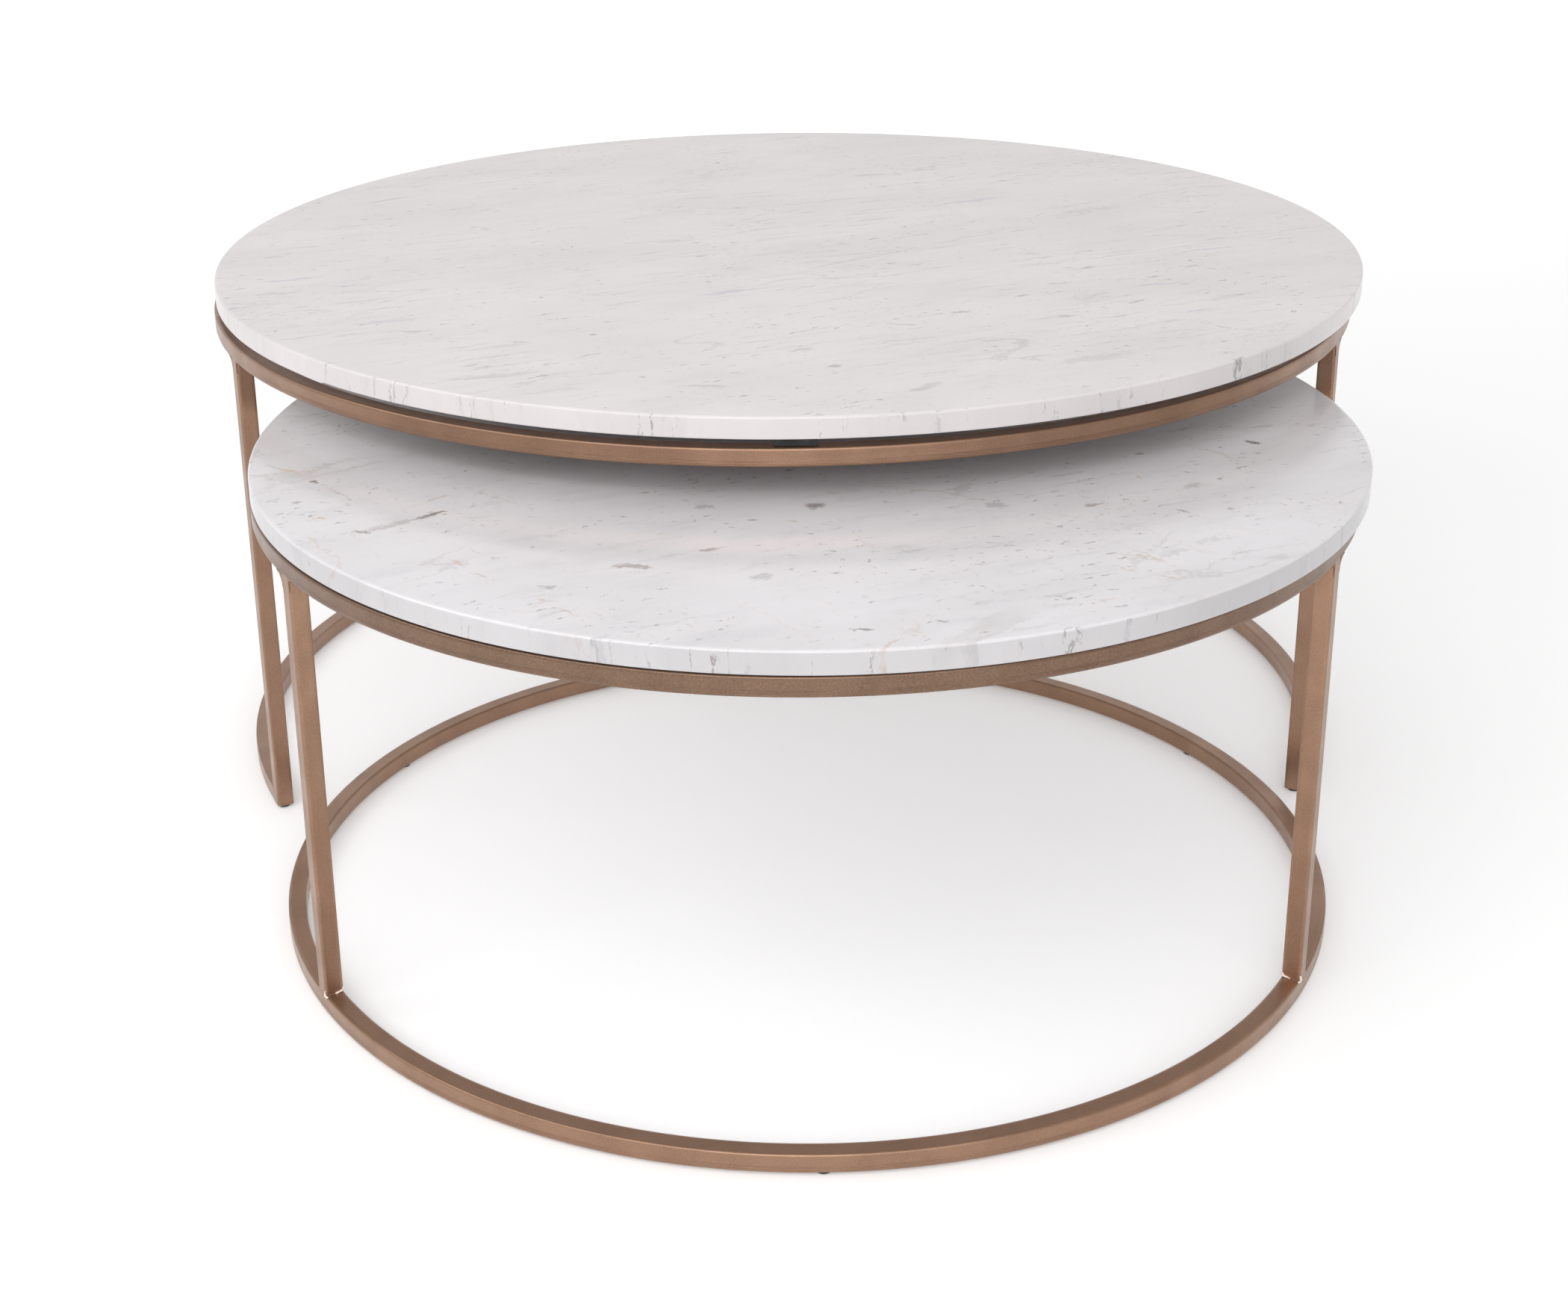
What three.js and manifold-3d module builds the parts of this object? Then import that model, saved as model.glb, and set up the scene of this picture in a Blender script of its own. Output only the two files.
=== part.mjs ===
// A set of two round nesting coffee tables: marble tops on frames of square steel tube.
// Millimetres, +Z up. The origin is on the floor, at the centre of the set's footprint.
// -Y is the open side of the large table, where the small table slides out.

import * as THREE from 'three';
import { mergeVertices } from 'three/addons/utils/BufferGeometryUtils.js';
import Module from 'manifold-3d';

const wasm = await Module();
wasm.setup();

// ---- driving dimensions ----------------------------------------------------------------

const CLEAR = 0.3; // gap between two pieces that touch
const TUBE = 13; // side of the square tube
const WALL = 1.5; // its wall
const VENT_R = 2.5; // weld vent between a ring and a leg
const VENT_DEEP = 3 * WALL; // the vent's cutter, which passes right through the wall
const SLAB_THICK = 15; // marble
const SLAB_EASE = 2.2; // eased arris of the marble
const SOFT_SHARE = 0.3; // share of the ease that the second of its two chamfers takes
const GLIDE_HIGH = 2; // glide under a foot
const GLIDE_R = 5;
const FOOT_PLATE = 2; // plate that closes the foot of an open leg
const PAD_SHIFT = -1; // the pads lie this far inside the middle of the tube

const LARGE = {
  name: 'large',
  slabR: 448,
  ringR: 446, // outer radius of the top ring and the base arc
  ringTop: 378,
  padGap: 7, // height between the top ring and the marble
  padWide: 27,
  padDeep: 10,
  slip: [4.5, -2], // where the marble lies on its pads, from the middle of the ring
  legAngle: 65, // of each front leg, from the front of the table
};

const SMALL = {
  name: 'small',
  slabR: 379,
  ringR: 376.5,
  ringTop: 326,
  padGap: 1.5,
  padWide: 24,
  padDeep: 10,
  slip: [3, 0],
  legAngle: 60.5,
};

const PULLED_OUT = 304; // the small table's centre is this far in front of the large table's
const SIDE_STEP = 8; // and this far to its right
const PAD_COUNT = 4; // at the front, the back and both sides
const SMALL_GLIDES = 6;
const ARC_GLIDE_ANGLES = [120, 180, 240]; // under the base arc, from the front

const RING_STEPS = 72;
const SLAB_STEPS = 96;
const GLIDE_STEPS = 16;
const PAD_STEPS = 3;

// ---- places ----------------------------------------------------------------------------

// The footprint of the set, measured from the large table's centre.
const footprintLeft = -LARGE.ringR;
const footprintRight = LARGE.slip[0] + LARGE.slabR;
const footprintBack = Math.max(LARGE.ringR, LARGE.slip[1] + LARGE.slabR);
const footprintFront = -PULLED_OUT + SMALL.slip[1] - SMALL.slabR;

const LARGE_CENTRE = new THREE.Vector3(
  -(footprintLeft + footprintRight) / 2,
  -(footprintBack + footprintFront) / 2,
  0,
);
const SMALL_CENTRE = LARGE_CENTRE.clone().add(new THREE.Vector3(SIDE_STEP, -PULLED_OUT, 0));

// ---- materials -------------------------------------------------------------------------

function finish(color, roughness, metalness) {
  return () => new THREE.MeshStandardMaterial({ color, roughness, metalness });
}

const marbleWarm = finish(0xe4dfdd, 0.22, 0);
const marbleCool = finish(0xe1e0e4, 0.15, 0);
const bronzePaint = finish(0xa98163, 0.38, 0.85);
const blackRubber = finish(0x17171a, 0.8, 0);
const blackNylon = finish(0x1c1c1e, 0.55, 0);

// ---- geometry helpers ------------------------------------------------------------------

const WELD_DISTANCE = 1e-4; // points closer than this are one point

function rad(degrees) {
  return THREE.MathUtils.degToRad(degrees);
}

// A point on a circle about the origin, its angle measured from the front (-Y) towards +X.
function around(radius, degrees) {
  return new THREE.Vector2(radius * Math.sin(rad(degrees)), -radius * Math.cos(rad(degrees)));
}

function toSolid(geometry) {
  const bare = geometry.clone();
  bare.deleteAttribute('normal');
  bare.deleteAttribute('uv');
  const merged = mergeVertices(bare, WELD_DISTANCE);
  return new wasm.Manifold(new wasm.Mesh({
    numProp: 3,
    vertProperties: new Float32Array(merged.attributes.position.array),
    triVerts: new Uint32Array(merged.index.array),
  }));
}

function toGeometry(solid) {
  const mesh = solid.getMesh();
  const geometry = new THREE.BufferGeometry();
  geometry.setAttribute('position', new THREE.BufferAttribute(mesh.vertProperties, 3));
  geometry.setIndex(new THREE.BufferAttribute(mesh.triVerts, 1));
  geometry.computeVertexNormals();
  return geometry;
}

function cutAway(base, tools) {
  return toGeometry(tools.reduce((left, tool) => left.subtract(toSolid(tool)), toSolid(base)));
}

// A closed profile of [radius, height] points, turned about the Z axis.
function turned(profile, steps) {
  const points = profile.map(([radius, height]) => new THREE.Vector2(radius, height));
  return new THREE.LatheGeometry(points, steps).rotateX(Math.PI / 2);
}

// A square ring section, from an outer radius inwards and from a lower height upwards.
function squareRing(outerR, low, side) {
  const innerR = outerR - side;
  const high = low + side;
  return turned([[innerR, low], [outerR, low], [outerR, high], [innerR, high], [innerR, low]], RING_STEPS);
}

function upright(shape, low, high) {
  return new THREE.ExtrudeGeometry(shape, { depth: high - low, bevelEnabled: false }).translate(0, 0, low);
}

function square(side) {
  const half = side / 2;
  const corners = [[-half, -half], [half, -half], [half, half], [-half, half]];
  return corners.map(([x, y]) => new THREE.Vector2(x, y));
}

function disc(radius, low, high) {
  return new THREE.CylinderGeometry(radius, radius, high - low, GLIDE_STEPS)
    .rotateX(Math.PI / 2)
    .translate(0, 0, (low + high) / 2);
}

// ---- sub-parts -------------------------------------------------------------------------

// Round slab with an eased arris above and below.
function slab(table) {
  const low = table.ringTop + table.padGap;
  const high = low + SLAB_THICK;
  const soft = SLAB_EASE * SOFT_SHARE;
  const { slabR } = table;
  return turned([
    [0, low],
    [slabR - soft, low],
    [slabR, low + soft],
    [slabR, high - SLAB_EASE],
    [slabR - soft, high - soft],
    [slabR - SLAB_EASE, high],
    [0, high],
  ], SLAB_STEPS);
}

// Ring of hollow square tube. Vents open its hollow where a leg is welded on.
function tubeRing(table, low, ventAngles, ventLow) {
  const radius = table.ringR - TUBE / 2;
  const hollow = squareRing(table.ringR - WALL, low + WALL, TUBE - 2 * WALL);
  const vents = ventAngles.map((angle) => {
    const place = around(radius, angle);
    return disc(VENT_R, ventLow, ventLow + VENT_DEEP).translate(place.x, place.y, 0);
  });
  return cutAway(squareRing(table.ringR, low, TUBE), [hollow, ...vents]);
}

// A ring open at the front: it runs from one front leg round the back to the other. What is cut
// from the ring is a mouth between its two ends, much wider and deeper than the table.
function tubeArc(table, low) {
  const ends = [-1, 1].map((side) => {
    const angle = side * table.legAngle;
    const offset = side * (TUBE / 2 + CLEAR);
    const along = new THREE.Vector2(Math.cos(rad(angle)), Math.sin(rad(angle))).multiplyScalar(offset);
    return [around(table.ringR - 2 * TUBE, angle).add(along), around(table.ringR + TUBE, angle).add(along)];
  });
  const [left, right] = ends;
  const front = -2 * table.ringR;
  const leftCorner = new THREE.Vector2(front, front);
  const rightCorner = new THREE.Vector2(-front, front);
  const mouth = new THREE.Shape([left[0], left[1], leftCorner, rightCorner, right[1], right[0]]);
  const hollow = squareRing(table.ringR - WALL, low + WALL, TUBE - 2 * WALL);
  return cutAway(squareRing(table.ringR, low, TUBE), [hollow, upright(mouth, low - TUBE, low + 2 * TUBE)]);
}

// Open-ended square tube, one face flush with the outside of the rings.
function legTube(low, high) {
  const shape = new THREE.Shape(square(TUBE));
  shape.holes.push(new THREE.Path(square(TUBE - 2 * WALL).reverse()));
  return upright(shape, low, high);
}

function footPlate() {
  return new THREE.BoxGeometry(TUBE, TUBE, FOOT_PLATE).translate(0, 0, GLIDE_HIGH + FOOT_PLATE / 2);
}

// Pad that follows the ring, between the ring and the marble.
function pad(table, angle) {
  const outerR = table.ringR - TUBE / 2 + table.padDeep / 2 + PAD_SHIFT;
  const innerR = outerR - table.padDeep;
  const half = THREE.MathUtils.radToDeg(table.padWide / 2 / innerR);
  const stops = Array.from({ length: PAD_STEPS + 1 }, (_, stop) => stop / PAD_STEPS);
  const steps = stops.map((share) => angle + half * (2 * share - 1));
  const outer = steps.map((degrees) => around(outerR, degrees));
  const inner = steps.map((degrees) => around(innerR, degrees)).reverse();
  const low = table.ringTop + CLEAR;
  return upright(new THREE.Shape([...outer, ...inner]), low, table.ringTop + table.padGap - CLEAR);
}

function glide() {
  return disc(GLIDE_R, 0, GLIDE_HIGH - CLEAR);
}

// ---- assembly --------------------------------------------------------------------------

function piece(name, geometry, material) {
  const mesh = new THREE.Mesh(geometry, material);
  mesh.name = name;
  return mesh;
}

// Puts a piece made about the Z axis at an angle round the table, in the line of the tube.
function onRing(table, angle, mesh) {
  const place = around(table.ringR - TUBE / 2, angle);
  mesh.position.set(place.x, place.y, 0);
  mesh.rotation.z = rad(angle);
  return mesh;
}

function addTop(group, table, material) {
  const marble = piece(`${table.name}_marble_top`, slab(table), material);
  marble.position.set(...table.slip, 0);
  group.add(marble);
  for (let index = 0; index < PAD_COUNT; index += 1) {
    const name = `${table.name}_top_pad_${index + 1}`;
    group.add(piece(name, pad(table, (index * 360) / PAD_COUNT), blackRubber()));
  }
}

function largeTable() {
  const group = new THREE.Group();
  group.position.copy(LARGE_CENTRE);
  addTop(group, LARGE, marbleWarm());

  const ringLow = LARGE.ringTop - TUBE;
  const legAngles = { left: -LARGE.legAngle, right: LARGE.legAngle, back: 180 };
  const vents = Object.values(legAngles);
  group.add(piece('large_top_ring', tubeRing(LARGE, ringLow, vents, ringLow - WALL), bronzePaint()));
  group.add(piece('large_base_arc', tubeArc(LARGE, GLIDE_HIGH), bronzePaint()));

  const feet = {
    left: GLIDE_HIGH + FOOT_PLATE + CLEAR,
    right: GLIDE_HIGH + FOOT_PLATE + CLEAR,
    back: GLIDE_HIGH + TUBE + CLEAR,
  };
  for (const [side, angle] of Object.entries(legAngles)) {
    const tube = legTube(feet[side], ringLow - CLEAR);
    group.add(onRing(LARGE, angle, piece(`large_leg_${side}`, tube, bronzePaint())));
  }
  for (const side of ['left', 'right']) {
    const angle = legAngles[side];
    group.add(onRing(LARGE, angle, piece(`large_foot_plate_${side}`, footPlate(), bronzePaint())));
    group.add(onRing(LARGE, angle, piece(`large_foot_glide_${side}`, glide(), blackNylon())));
  }
  ARC_GLIDE_ANGLES.forEach((angle, index) => {
    group.add(onRing(LARGE, angle, piece(`large_arc_glide_${index + 1}`, glide(), blackNylon())));
  });
  return group;
}

function smallTable() {
  const group = new THREE.Group();
  group.position.copy(SMALL_CENTRE);
  addTop(group, SMALL, marbleCool());

  const ringLow = SMALL.ringTop - TUBE;
  const baseTop = GLIDE_HIGH + TUBE;
  const legAngles = { left: -SMALL.legAngle, right: SMALL.legAngle, back: 180 };
  const vents = Object.values(legAngles);
  group.add(piece('small_top_ring', tubeRing(SMALL, ringLow, vents, ringLow - WALL), bronzePaint()));
  group.add(piece('small_base_ring', tubeRing(SMALL, GLIDE_HIGH, vents, baseTop - 2 * WALL), bronzePaint()));
  for (const [side, angle] of Object.entries(legAngles)) {
    const tube = legTube(baseTop + CLEAR, ringLow - CLEAR);
    group.add(onRing(SMALL, angle, piece(`small_leg_${side}`, tube, bronzePaint())));
  }
  for (let index = 0; index < SMALL_GLIDES; index += 1) {
    const angle = (index * 360) / SMALL_GLIDES;
    group.add(onRing(SMALL, angle, piece(`small_glide_${index + 1}`, glide(), blackNylon())));
  }
  return group;
}

const nestingTables = new THREE.Group();
nestingTables.add(largeTable(), smallTable());

export default nestingTables;
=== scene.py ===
"""Two round nesting coffee tables: marble slabs on frames of square tube in rose-bronze paint.

Metres, +Z up, in the frame of the CAD model. -Y is the open front of the large table, where the
small table slides out. Angles round a table are measured from its front (-Y) towards +X.
"""

import logging
import math
from collections.abc import Sequence
from dataclasses import dataclass, field, replace
from enum import Enum

import bmesh
import bpy
from mathutils import Matrix, Vector, noise


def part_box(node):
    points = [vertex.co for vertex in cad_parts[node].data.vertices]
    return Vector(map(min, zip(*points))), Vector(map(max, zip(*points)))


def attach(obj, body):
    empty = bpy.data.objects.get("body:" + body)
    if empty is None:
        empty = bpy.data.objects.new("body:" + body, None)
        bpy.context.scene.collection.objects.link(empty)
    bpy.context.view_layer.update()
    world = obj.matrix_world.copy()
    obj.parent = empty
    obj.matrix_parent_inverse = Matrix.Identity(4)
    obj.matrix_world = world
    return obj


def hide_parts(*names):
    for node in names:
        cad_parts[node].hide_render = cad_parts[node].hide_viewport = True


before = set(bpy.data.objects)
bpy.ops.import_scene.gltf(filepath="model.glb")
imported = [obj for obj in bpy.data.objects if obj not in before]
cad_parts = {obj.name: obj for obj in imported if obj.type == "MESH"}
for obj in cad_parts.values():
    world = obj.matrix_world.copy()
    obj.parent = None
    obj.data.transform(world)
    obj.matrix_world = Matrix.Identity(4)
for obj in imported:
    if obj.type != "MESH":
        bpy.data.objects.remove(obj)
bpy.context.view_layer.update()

LOG = logging.getLogger("nesting_tables")
MM = 0.001
CM = 0.01
FULL_TURN = 2 * math.pi
WHITE = (1.0, 1.0, 1.0, 1.0)
Colour = tuple[float, float, float]
Socket = bpy.types.NodeSocket
Grid = list[list[bmesh.types.BMVert]]


class Body(Enum):
    """The two tables, each of which moves as one."""

    LARGE = "large_table"
    SMALL = "small_table"


class Slot(Enum):
    """Material slots."""

    MARBLE_LARGE = "marble_large"
    MARBLE_SMALL = "marble_small"
    BRONZE = "frame_bronze"
    RUBBER = "pad_rubber"
    NYLON = "glide_nylon"


class Grain(Enum):
    """How the fine draw lines run over a painted tube."""

    ROUND = "round"
    UPRIGHT = "upright"
    NONE = "none"


class Tint(Enum):
    """Colours of the inclusions in the marble, as linear RGB."""

    UMBER = (0.150, 0.110, 0.090)
    TAUPE = (0.300, 0.245, 0.215)
    RUST = (0.560, 0.370, 0.240)
    SLATE = (0.230, 0.230, 0.245)
    LILAC = (0.420, 0.400, 0.520)
    MOSS = (0.070, 0.080, 0.070)
    ASH = (0.400, 0.390, 0.395)


# ---- node helpers ----------------------------------------------------------------------


class Graph:
    """A node tree while it is being wired, for a material or for Geometry Nodes."""

    def __init__(self, tree: bpy.types.NodeTree) -> None:
        """Starts from an empty tree.

        Args:
            tree: the tree that the nodes go into.
        """
        self.tree = tree
        tree.nodes.clear()

    def put(self, socket: Socket, value: object) -> None:
        """Links a socket to another one, or sets its own value.

        Args:
            socket: the input socket.
            value: an output socket, or a plain value.
        """
        if isinstance(value, Socket):
            self.tree.links.new(value, socket)
        else:
            socket.default_value = value

    def add(self, kind: str, inputs: dict | None = None, **settings: object) -> bpy.types.Node:
        """Adds one node.

        Args:
            kind: the node's type.
            inputs: values or sockets for its inputs, by name or by index.
            **settings: the node's own properties.

        Returns:
            The new node.
        """
        node = self.tree.nodes.new(kind)
        for name, value in settings.items():
            setattr(node, name, value)
        for name, value in (inputs or {}).items():
            self.put(node.inputs[name], value)
        return node

    def maths(
        self, operation: str, first: object, second: object = 0.0, clamp: bool = False
    ) -> Socket:
        """Adds a Math node.

        Args:
            operation: the Math node's operation.
            first: its first value or socket.
            second: its second value or socket.
            clamp: whether the result is kept between 0 and 1.

        Returns:
            The result's socket.
        """
        node = self.add("ShaderNodeMath", operation=operation, use_clamp=clamp)
        self.put(node.inputs[0], first)
        if len(node.inputs) > 1:
            self.put(node.inputs[1], second)
        return node.outputs[0]

    def vectors(
        self, operation: str, first: object, second: object = (0.0, 0.0, 0.0)
    ) -> Socket:
        """Adds a Vector Math node.

        Args:
            operation: the node's operation; for SCALE the second argument is the scale.
            first: its first vector.
            second: its second vector, or the scale.

        Returns:
            The result's socket, which is a number for LENGTH.
        """
        node = self.add("ShaderNodeVectorMath", operation=operation)
        self.put(node.inputs[0], first)
        if operation == "SCALE":
            self.put(node.inputs["Scale"], second)
        elif operation != "LENGTH":
            self.put(node.inputs[1], second)
        return node.outputs["Value" if operation == "LENGTH" else "Vector"]

    def join(self, x: object, y: object, z: object) -> Socket:
        """Adds a Combine XYZ node and returns its vector socket."""
        return self.add("ShaderNodeCombineXYZ", {0: x, 1: y, 2: z}).outputs[0]

    def split(self, vector: object) -> tuple[Socket, Socket, Socket]:
        """Adds a Separate XYZ node and returns its three sockets."""
        node = self.add("ShaderNodeSeparateXYZ", {0: vector})
        return node.outputs[0], node.outputs[1], node.outputs[2]


class Shader(Graph):
    """The node tree of one material, round one Principled shader."""

    def __init__(self, name: str) -> None:
        """Makes the material with its output.

        Args:
            name: the material's name.
        """
        self.material = bpy.data.materials.new(name)
        self.material.use_nodes = True
        super().__init__(self.material.node_tree)
        self.principled = self.add("ShaderNodeBsdfPrincipled")
        output = self.add("ShaderNodeOutputMaterial")
        self.put(output.inputs["Surface"], self.principled.outputs["BSDF"])
        self.place = self.add("ShaderNodeTexCoord").outputs["Object"]

    def surface(self, **values: object) -> None:
        """Sets the shader's sockets, named with underscores for spaces.

        Args:
            **values: plain values or sockets.
        """
        for name, value in values.items():
            self.put(self.principled.inputs[socket_name(name)], value)

    def mapped(
        self,
        vector: object,
        centre: Sequence[float] = (0.0, 0.0, 0.0),
        turn: float = 0.0,
        stretch: Sequence[float] = (1.0, 1.0, 1.0),
    ) -> Socket:
        """Moves a point into a pattern's own axes.

        Args:
            vector: the point.
            centre: the pattern's origin.
            turn: how far the pattern is turned about +Z, in degrees.
            stretch: the pattern's size along each of its axes.

        Returns:
            The point's socket in the pattern's axes.
        """
        node = self.add("ShaderNodeMapping", {"Vector": vector}, vector_type="TEXTURE")
        node.inputs["Location"].default_value = centre
        node.inputs["Rotation"].default_value = (0.0, 0.0, math.radians(turn))
        node.inputs["Scale"].default_value = stretch
        return node.outputs[0]

    def noise(
        self,
        vector: object,
        size: float,
        detail: float = 3.0,
        rough: float = 0.5,
        warp: float = 0.0,
        colour: bool = False,
    ) -> Socket:
        """Adds noise.

        Args:
            vector: where it is read.
            size: how big its lumps are, in the units of the vector.
            detail: how many finer layers it has.
            rough: how strong the finer layers are.
            warp: its distortion.
            colour: whether the three-channel output is wanted.

        Returns:
            The noise's socket, about 0.5 on average.
        """
        node = self.add("ShaderNodeTexNoise", {"Vector": vector})
        node.inputs["Scale"].default_value = 1.0 / size
        node.inputs["Detail"].default_value = detail
        node.inputs["Roughness"].default_value = rough
        node.inputs["Distortion"].default_value = warp
        return node.outputs["Color" if colour else 0]

    def ramp(
        self, value: object, low: float, high: float, start: float = 0.0, end: float = 1.0
    ) -> Socket:
        """Turns a value smoothly from start at low to end at high.

        Args:
            value: the value.
            low: where the change starts.
            high: where it ends.
            start: the result at low.
            end: the result at high.

        Returns:
            The result's socket.
        """
        node = self.add("ShaderNodeMapRange", interpolation_type="SMOOTHSTEP")
        for index, part in enumerate((value, low, high, start, end)):
            self.put(node.inputs[index], part)
        return node.outputs[0]

    def blend(self, factor: object, first: object, second: object, kind: str = "MIX") -> Socket:
        """Blends two colours.

        Args:
            factor: the share of the second one.
            first: the first colour or socket.
            second: the second colour or socket.
            kind: the blend's type.

        Returns:
            The colour's socket.
        """
        node = self.add("ShaderNodeMix", data_type="RGBA", blend_type=kind)
        colours = [s for s in node.inputs if s.type == "RGBA"]
        self.put(node.inputs[0], factor)
        for socket, value in zip(colours, (first, second)):
            self.put(socket, value if isinstance(value, Socket) else (*value, 1.0))
        return [s for s in node.outputs if s.type == "RGBA"][0]

    def bump(self, height: object, distance: float, below: Socket | None = None) -> Socket:
        """Adds a bump.

        Args:
            height: the height, from 0 to 1.
            distance: what a height of 1 is, in metres.
            below: the normal of a coarser bump that it lies on.

        Returns:
            The normal's socket.
        """
        node = self.add("ShaderNodeBump", {"Height": height})
        node.inputs["Strength"].default_value = 1.0
        node.inputs["Distance"].default_value = distance
        if below is not None:
            self.put(node.inputs["Normal"], below)
        return node.outputs[0]


def socket_name(name: str) -> str:
    """Turns base_color into the Principled shader's own name for it, Base Color."""
    return "IOR" if name == "ior" else name.replace("_", " ").title()


class Recipe(Graph):
    """A Geometry Nodes tree with named inputs that makes one piece."""

    def __init__(self, name: str) -> None:
        """Makes the tree with its first socket and its last nodes.

        Args:
            name: the tree's name.
        """
        tree = bpy.data.node_groups.new(name, "GeometryNodeTree")
        super().__init__(tree)
        tree.interface.new_socket(name="Geometry", in_out="OUTPUT", socket_type="NodeSocketGeometry")
        self.inlet = self.add("NodeGroupInput")
        self.values: dict[str, object] = {}

    def size(self, name: str, value: object, kind: str = "NodeSocketFloat") -> Socket:
        """Adds a named input.

        Args:
            name: the input's name.
            value: its value for this piece.
            kind: its socket type.

        Returns:
            The input's socket inside the tree.
        """
        self.tree.interface.new_socket(name=name, in_out="INPUT", socket_type=kind)
        self.values[name] = value
        return self.inlet.outputs[name]

    def count(self, name: str, value: int) -> Socket:
        """Adds a named whole-number input and returns its socket."""
        return self.size(name, value, "NodeSocketInt")

    def vector(self, name: str, value: Sequence[float]) -> Socket:
        """Adds a named vector input and returns its socket."""
        return self.size(name, tuple(value), "NodeSocketVector")

    def flow(
        self, kind: str, geometry: object, inputs: dict | None = None, **settings: object
    ) -> Socket:
        """Adds a node that the geometry passes through.

        Args:
            kind: the node's type.
            geometry: the geometry's socket.
            inputs: its other inputs.
            **settings: the node's own properties.

        Returns:
            The geometry's next socket.
        """
        node = self.add(kind, inputs, **settings)
        self.put(node.inputs[0], geometry)
        return node.outputs[0]

    def merge(self, *parts: Socket) -> Socket:
        """Joins several geometries and returns the socket."""
        node = self.add("GeometryNodeJoinGeometry")
        for part in parts:
            self.tree.links.new(part, node.inputs[0])
        return node.outputs[0]

    def sweep(
        self, line: Socket, section: Socket, caps: bool = True, normal: str = "Z_UP"
    ) -> Socket:
        """Sweeps a section along a line.

        Args:
            line: the line's socket.
            section: the section's socket.
            caps: whether the ends are filled.
            normal: how the section is kept upright.

        Returns:
            The mesh's socket.
        """
        path = self.flow("GeometryNodeSetCurveNormal", line, mode=normal)
        inputs = {"Profile Curve": section, "Fill Caps": caps}
        return self.flow("GeometryNodeCurveToMesh", path, inputs)

    def move(self, geometry: object, name: str, place: Sequence[float]) -> Socket:
        """Moves geometry to a place that is a named input, and returns its socket."""
        inputs = {"Translation": self.vector(name, place)}
        return self.flow("GeometryNodeTransform", geometry, inputs)

    def close(self, geometry: object, smooth: bool = True) -> None:
        """Ends the tree: real geometry, smooth shading and the piece's material.

        Args:
            geometry: the finished geometry's socket.
            smooth: whether it is shaded smooth.
        """
        finish = self.size("Finish", None, "NodeSocketMaterial")
        real = self.flow("GeometryNodeRealizeInstances", geometry)
        shaded = self.flow("GeometryNodeSetShadeSmooth", real, {"Shade Smooth": smooth})
        done = self.flow("GeometryNodeSetMaterial", shaded, {"Material": finish})
        outlet = self.add("NodeGroupOutput")
        self.put(outlet.inputs[0], done)

    def make(self, name: str, finish: bpy.types.Material) -> bpy.types.Object:
        """Runs the tree and keeps the result as one plain mesh.

        Args:
            name: the piece's name.
            finish: its material.

        Returns:
            The piece.
        """
        self.values["Finish"] = finish
        piece = bpy.data.objects.new(name, bpy.data.meshes.new(name))
        bpy.context.scene.collection.objects.link(piece)
        modifier = piece.modifiers.new(self.tree.name, "NODES")
        modifier.node_group = self.tree
        for item in self.tree.interface.items_tree:
            if item.item_type == "SOCKET" and item.in_out == "INPUT":
                modifier[item.identifier] = self.values[item.name]
        depsgraph = bpy.context.evaluated_depsgraph_get()
        evaluated = piece.evaluated_get(depsgraph)
        mesh = bpy.data.meshes.new_from_object(
            evaluated, preserve_all_data_layers=True, depsgraph=depsgraph
        )
        piece.modifiers.remove(modifier)
        piece.data = mesh
        mesh.name = name
        return piece


# ---- finishes --------------------------------------------------------------------------


@dataclass(frozen=True)
class Inclusion:
    """One dark or coloured place in a slab, in the slab's own plane."""

    x: float  # cm from the middle of the slab
    y: float
    long: float  # mm
    wide: float
    turn: float  # degrees from +X
    tint: Tint
    strength: float = 0.6


@dataclass(frozen=True)
class Streaks:
    """A family of natural streaks that all run one way through the stone."""

    turn: float  # degrees from +X
    long: float  # m
    wide: float
    low: float  # the share of the stone without them
    high: float
    patch: float  # size of the patches that they come in
    patch_low: float
    patch_high: float
    tint: Tint
    strength: float
    seed: float  # shifts the pattern


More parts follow.
